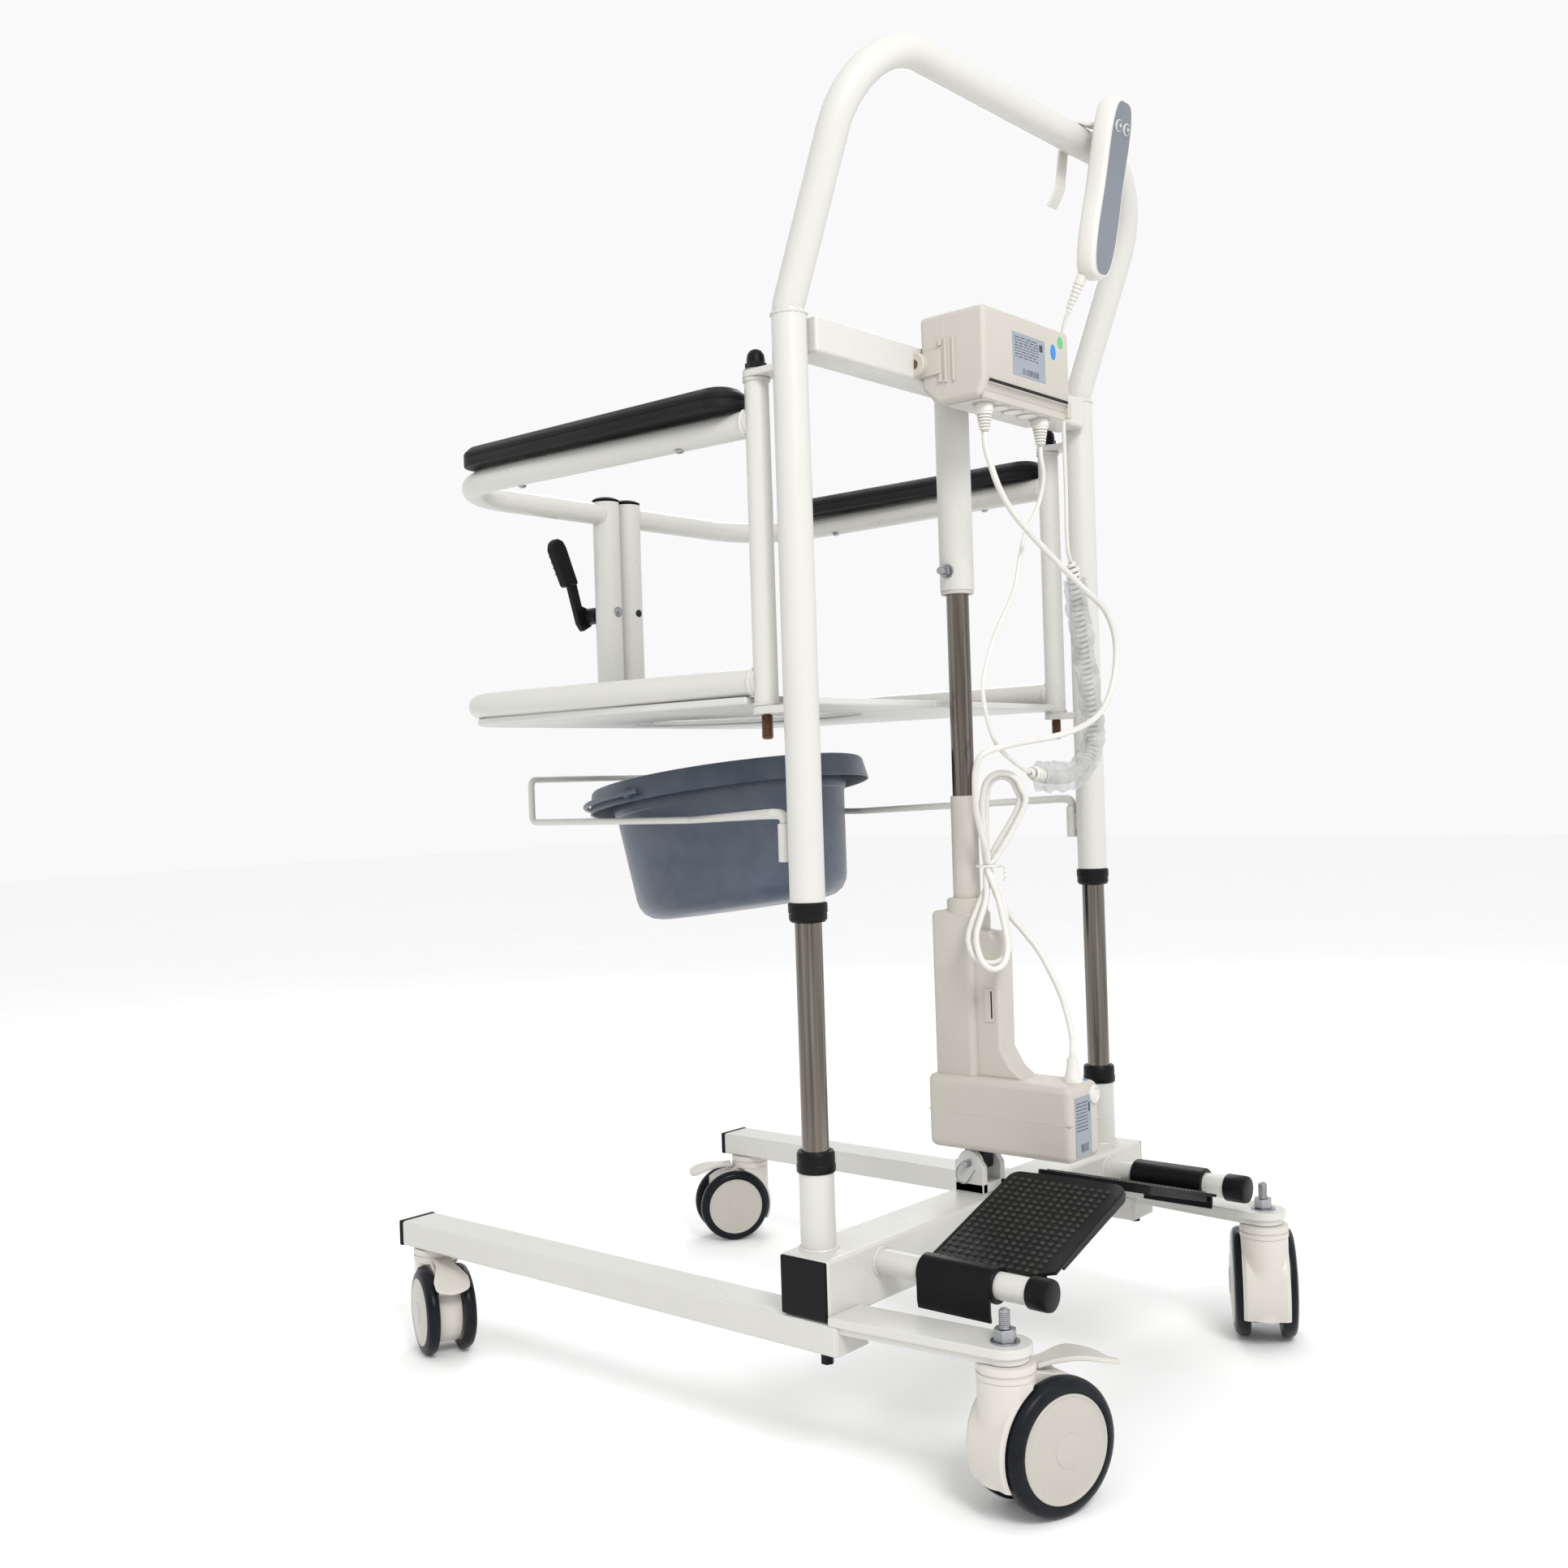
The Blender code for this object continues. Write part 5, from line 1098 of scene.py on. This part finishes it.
def caster(word):
    x, y, radius, trail, spacing, width, heading = CASTERS[word]
    place = moved(x, y, 0) @ Matrix.Rotation(heading, 4, "Z")
    front = word.startswith("front")
    fork_body, wheel_body = f"caster_{word}", f"wheels_{word}"
    top, cap_r = (0.1418, 0.0275) if front else (0.1193, 0.0265)
    low = 2 * radius + 0.0024
    cap = [(0, top), (cap_r - 0.003, top), (cap_r - 0.0008, top - 0.0008), (cap_r, top - 0.0028),
           (cap_r, top - 0.007), (cap_r - 0.0012, top - 0.0074), (cap_r - 0.0012, top - 0.0088),
           (cap_r, top - 0.0092), (cap_r, low + 0.0004), (0, low + 0.0004)]
    put(turned(f"swivel_cap_{word}", cap, place), fork_body, IVORY, f"caster_fork_{word}")
    if front:
        spacer = [(0, 0.1425), (0.0135, 0.1425), (0.014, 0.143), (0.014, 0.1488), (0, 0.1488)]
        put(turned(f"swivel_spacer_{word}", spacer, moved(x, y, 0), 6), "base", ZINC)
    near = spacing - width / 2
    hub = place @ moved(trail, 0, radius) @ FACE_FRONT
    hood(word, place, radius, trail, near, cap_r, low)
    fork_web(word, place, hub, radius, trail, near - 0.002, cap_r, low, front)
    for hand, letter in LETTERED:
        tread = [(radius * share + extra, hand * (near + width * level)) for share, extra, level in TREAD]
        tyre = turned(f"tyre_{word}_{letter}", tread, hub, 96, closed=True)
        put(tyre, wheel_body, TYRE, f"caster_wheels_{word}")
        disc = [(radius * share, hand * (near + width * level)) for share, level in WHEEL_FACE]
        put(turned(f"wheel_disc_{word}_{letter}", disc, hub, 72), wheel_body, DISC)
    axle = rod(f"axle_{word}", (trail, -spacing, radius), (trail, spacing, radius), 0.0062, place=place)
    put(axle, wheel_body, ZINC)
    pedal(word, place, radius, cap_r, front)


def hood(word, place, radius, trail, near, cap_r, low):
    """The fork's outside: a round stem that flares into two wings over the treads."""
    clear, wing_radius, half = radius + 0.0022, radius + 0.0056, near + 0.0088
    girth = cap_r - 0.0002
    bottom = radius * 0.54
    levels = [bottom + (low - bottom) * k / 26 for k in range(27)]

    def back(reach, z):
        return trail - math.sqrt(max(0.0, reach**2 - (z - radius) ** 2))

    shape = bmesh.new()
    rings = []
    for k in range(25):
        y = half * math.sin(math.pi / 2 * (-1 + 2 * k / 24))
        soft = 0.0045 * max(0.0, abs(y) / half - 0.82) ** 2 / 0.18**2
        stem = -math.sqrt(girth**2 - y**2) if abs(y) < girth else 1.0
        trim = math.sqrt(cap_r**2 - y**2) if abs(y) < cap_r else 0.0
        outer, inner = [], []
        for z in levels:
            rear = min(back(clear, z), trim)
            outer.append((min(back(wing_radius, z) + soft, stem, rear - 0.0012), -y, z))
            inner.append((rear, -y, z))
        rings.append(ring(shape, [*outer, *inner[::-1]]))
    skin(shape, rings)
    put(from_bmesh(f"fork_hood_{word}", shape, place, sharp=14), f"caster_{word}", IVORY)


def fork_web(word, place, hub, radius, trail, web, cap_r, low, front):
    """What shows between the wheels: the fork's web, and a round core that is painted black on the front
    casters as painted shade under the hood.
    """
    middle = [(-cap_r * 0.6, low + 0.002), (-cap_r * 0.6, radius * 1.3),
              (trail - radius * 0.8, radius * 0.6), *arc((trail, radius), radius * 0.45, 225, 380, 16),
              (trail + radius * 0.62, radius * 1.55), *arc((trail, radius), radius * 0.985, 52, 85, 8),
              (cap_r * 0.9, low + 0.002)]
    put(prism(f"fork_web_{word}", middle, -web, web, 0.0012, place @ FACE_FRONT), f"caster_{word}", IVORY)
    outer, rim = radius * 0.74, radius * 0.76
    core = [(0, -web - 0.0004), (outer, -web - 0.0004), (rim, -web * 0.9), (rim, web * 0.9),
            (outer, web + 0.0004), (0, web + 0.0004)]
    # The front casters' core is black: painted shade in the space under the hood between the treads. The rear
    # ones keep the ivory.
    put(turned(f"fork_core_{word}", core, hub, 64), f"caster_{word}", BLACK if front else IVORY)


def pedal(word, place, radius, cap_r, front):
    """The cream brake pedal, a curved paddle on its own hinge."""
    drop = Matrix.Rotation(PEDAL_DROP.get(word, 0.0), 4, "Y")
    reach, flare = (0.09, 0.015) if front else (0.058, 0.01)
    root, thickness, steps = -0.0045, 0.0046, 20
    shape = bmesh.new()
    rings = []
    for i in range(steps + 1):
        t = i / steps
        half = 0.0105 + flare * max(0.0, min(1.0, (t - 0.2) / 0.5)) ** 1.2
        if t > 0.84:
            half *= math.sqrt(max(0.0, 1 - ((t - 0.84) / 0.16) ** 2)) * 0.62 + 0.38
        droop = -reach * 0.16 * max(0.0, (t - 0.4) / 0.6) ** 1.6
        u = root + (reach - root) * t
        top = [(u, half * s, droop + 0.0016 + 0.0014 * s * s) for s in [-1 + k / 4 for k in range(9)]]
        bottom = [(u, v, w - thickness) for u, v, w in top]
        rings.append(ring(shape, [*top, *bottom[::-1]]))
    skin(shape, rings, ends=False)
    for end in (rings[0], rings[-1]):
        for k in range(8):
            shape.faces.new((end[k], end[k + 1], end[16 - k], end[17 - k]))
    hinge_at = place @ moved(cap_r + 0.006, 0, 2 * radius + 0.0065) @ drop
    paddle = from_bmesh(f"pedal_paddle_{word}", shape, hinge_at, sharp=50)
    put(bevel(paddle, 0.0011, 3, 50), f"pedal_{word}", IVORY, f"brake_pedal_{word}")


# ---- Commode pan ----
def pan():
    place = Matrix.Translation(BUCKET_CENTRE) @ Matrix.Rotation(BUCKET_TILT, 4, "X")
    outside = [(0.15, 0.0138), (0.166, 0.014), (0.169, 0.0132), (0.1712, 0.0105), (0.1755, -0.0125),
               (0.1757, -0.0138), (0.1748, -0.0141), (0.1738, -0.0132), (0.17, 0.007), (0.1675, 0.0092),
               (0.15, 0.0094), (0.148, 0.006), (0.147, -0.008), (0.1475, -0.0092), (0.145, -0.022),
               (0.1435, -0.0232), (0.143, -0.026), (0.1322, -0.127), (0.13, -0.136), (0.124, -0.145),
               (0.115, -0.1508), (0.105, -0.1532), (0.098, -0.154), (0, -0.154)]
    inside = [(0, -0.1512), (0.103, -0.1508), (0.118, -0.144), (0.128, -0.129), (0.143, -0.01),
              (0.1455, 0.008), (0.1475, 0.0125)]
    put(turned("pan_shell", [*outside, *inside], place, 128, closed=True), "bucket", PAN, "bucket")
    pivot_z = -0.0035
    for side, letter in LETTERED:
        knob = place @ moved(side * 0.1755, 0, pivot_z) @ Matrix.Rotation(side * math.pi / 2, 4, "Y")
        shape = [(0, 0.006), (0.004, 0.0058), (0.0056, 0.0045), (0.006, 0.002), (0.006, -0.002), (0, -0.002)]
        put(turned(f"bail_knob_{letter}", shape, knob, 32), "bucket", PAN)
    path = [(x, y, pivot_z) for x, y in arc((0.0, 0.0), 0.1805, -6, 186, 80)]
    put(sweep("pan_bail", path, 0.0031, 16, place=place), "bail", PAN, "bucket_bail")


# ---- Handset ----
def handset_outline(scale_x, scale_z, count=64):
    """A long rounded shape, a little narrower in the lower third."""
    points = []
    for c, s in circle(count):
        z = 0.099 * scale_z * math.copysign(abs(s) ** 0.52, s)
        waist = 1.0 - 0.1 * math.exp(-(((z - 0.01) / 0.038) ** 2))
        points.append((0.026 * scale_x * waist * math.copysign(abs(c) ** (0.5 if s > 0 else 0.62), c), z))
    return points


def handset():
    place = Matrix.Translation(HANDSET_CENTRE) @ Matrix.Rotation(HANDSET_TILT, 4, "X")
    levels = [(0.86, 0.965, -0.0124), (0.93, 0.985, -0.0112), (0.985, 0.996, -0.008), (1.0, 1.0, -0.001),
              (0.99, 0.998, 0.006), (0.92, 0.985, 0.01), (0.74, 0.95, 0.0124)]
    shape = bmesh.new()
    outlines = [[(x, depth, z) for x, z in handset_outline(*scale)] for *scale, depth in levels]
    skin(shape, [ring(shape, points) for points in outlines])
    put(from_bmesh("handset_shell", shape, place, sharp=60), "handset", PORCELAIN, "handset")
    face = place @ STAND_UP
    rim, keypad = handset_outline(0.86, 0.958), handset_outline(0.8, 0.943)
    put(prism("handset_face_rim", rim, -0.0131, -0.0117, 0.0002, face), "handset", PORCELAIN)
    put(prism("handset_face", keypad, -0.0134, -0.0125, 0.0002, face), "handset", KEYPAD)
    for word, x, flip in (("up", -0.0085, 1), ("down", 0.0085, -1)):
        at = place @ moved(x, -0.0133, 0.066) @ FACE_FRONT
        bezel = [(0.0057, -0.0002), (0.0057, 0.0016), (0.0066, 0.0012), (0.0066, -0.0002)]
        put(turned(f"button_ring_{word}", bezel, at, closed=True), "handset", PORCELAIN)
        dome = [(0, 0.0027), (0.0026, 0.0026), (0.0046, 0.0021), (0.0053, 0.0014), (0, 0.0014)]
        put(turned(f"button_dome_{word}", dome, at, 40), f"button_{word}", KEYPAD, f"handset_button_{word}")
        arrow = [(-0.0022, -0.0012 * flip), (0.0022, -0.0012 * flip), (0.0, 0.0024 * flip)]
        put(prism(f"button_arrow_{word}", arrow, 0.002, 0.0028, 0, at), f"button_{word}", PORCELAIN)
    lamp = [(0, 0.0006), (0.0009, 0.0004), (0.0012, 0), (0, -0.0003)]
    put(turned("handset_lamp", lamp, place @ moved(0, -0.0133, 0.078) @ FACE_FRONT, 20), "handset", GREEN)


def handset_hook():
    """The strap that hooks the handset over the push handle, and the cord's ribbed relief below it."""
    line = [(-0.118, 1.3985), (-0.108, 1.399), *arc((HANDLE_TOP_Y, HANDLE_TOP_Z), 0.0197, 125, 0, 18),
            (-0.0655, 1.352), (-0.064, 1.34), (-0.057, 1.328), (-0.0515, 1.3215)]
    points = [Vector((HANDSET_CENTRE.x, y, z)) for y, z in line]
    hook = strip("handset_hook", points, Vector((1, 0, 0)), 0.0085, 0.0034, None, 0.0008, 60)
    put(hook, "handset", PORCELAIN)
    start, end = Vector((0.12, -0.094, 1.232)), Vector((0.116, -0.0767, 1.193))
    axis = end - start
    relief = [(0, 0), (0.0066, 0), *ribs(7, 0.008, 0.0046, 0.0064, 0.0012, (0.0026, 0.003, 0.0042), 0.00036),
              (0.0032, axis.length), (0, axis.length)]
    turn = Matrix.Translation(start) @ axis.to_track_quat("Z", "Y").to_matrix().to_4x4()
    put(turned("handset_relief", relief, turn, 40), "handset", PORCELAIN)


crossbar()
push_handle()
control_box()
housing()
motor_box()
clevis()
bucket_rack()
latch_lever()
pan()
handset()
handset_hook()
for hand, hand_word in SIDES:
    seat_half(hand, hand_word)
    footplate(hand, hand_word)
for caster_word in CASTERS:
    caster(caster_word)
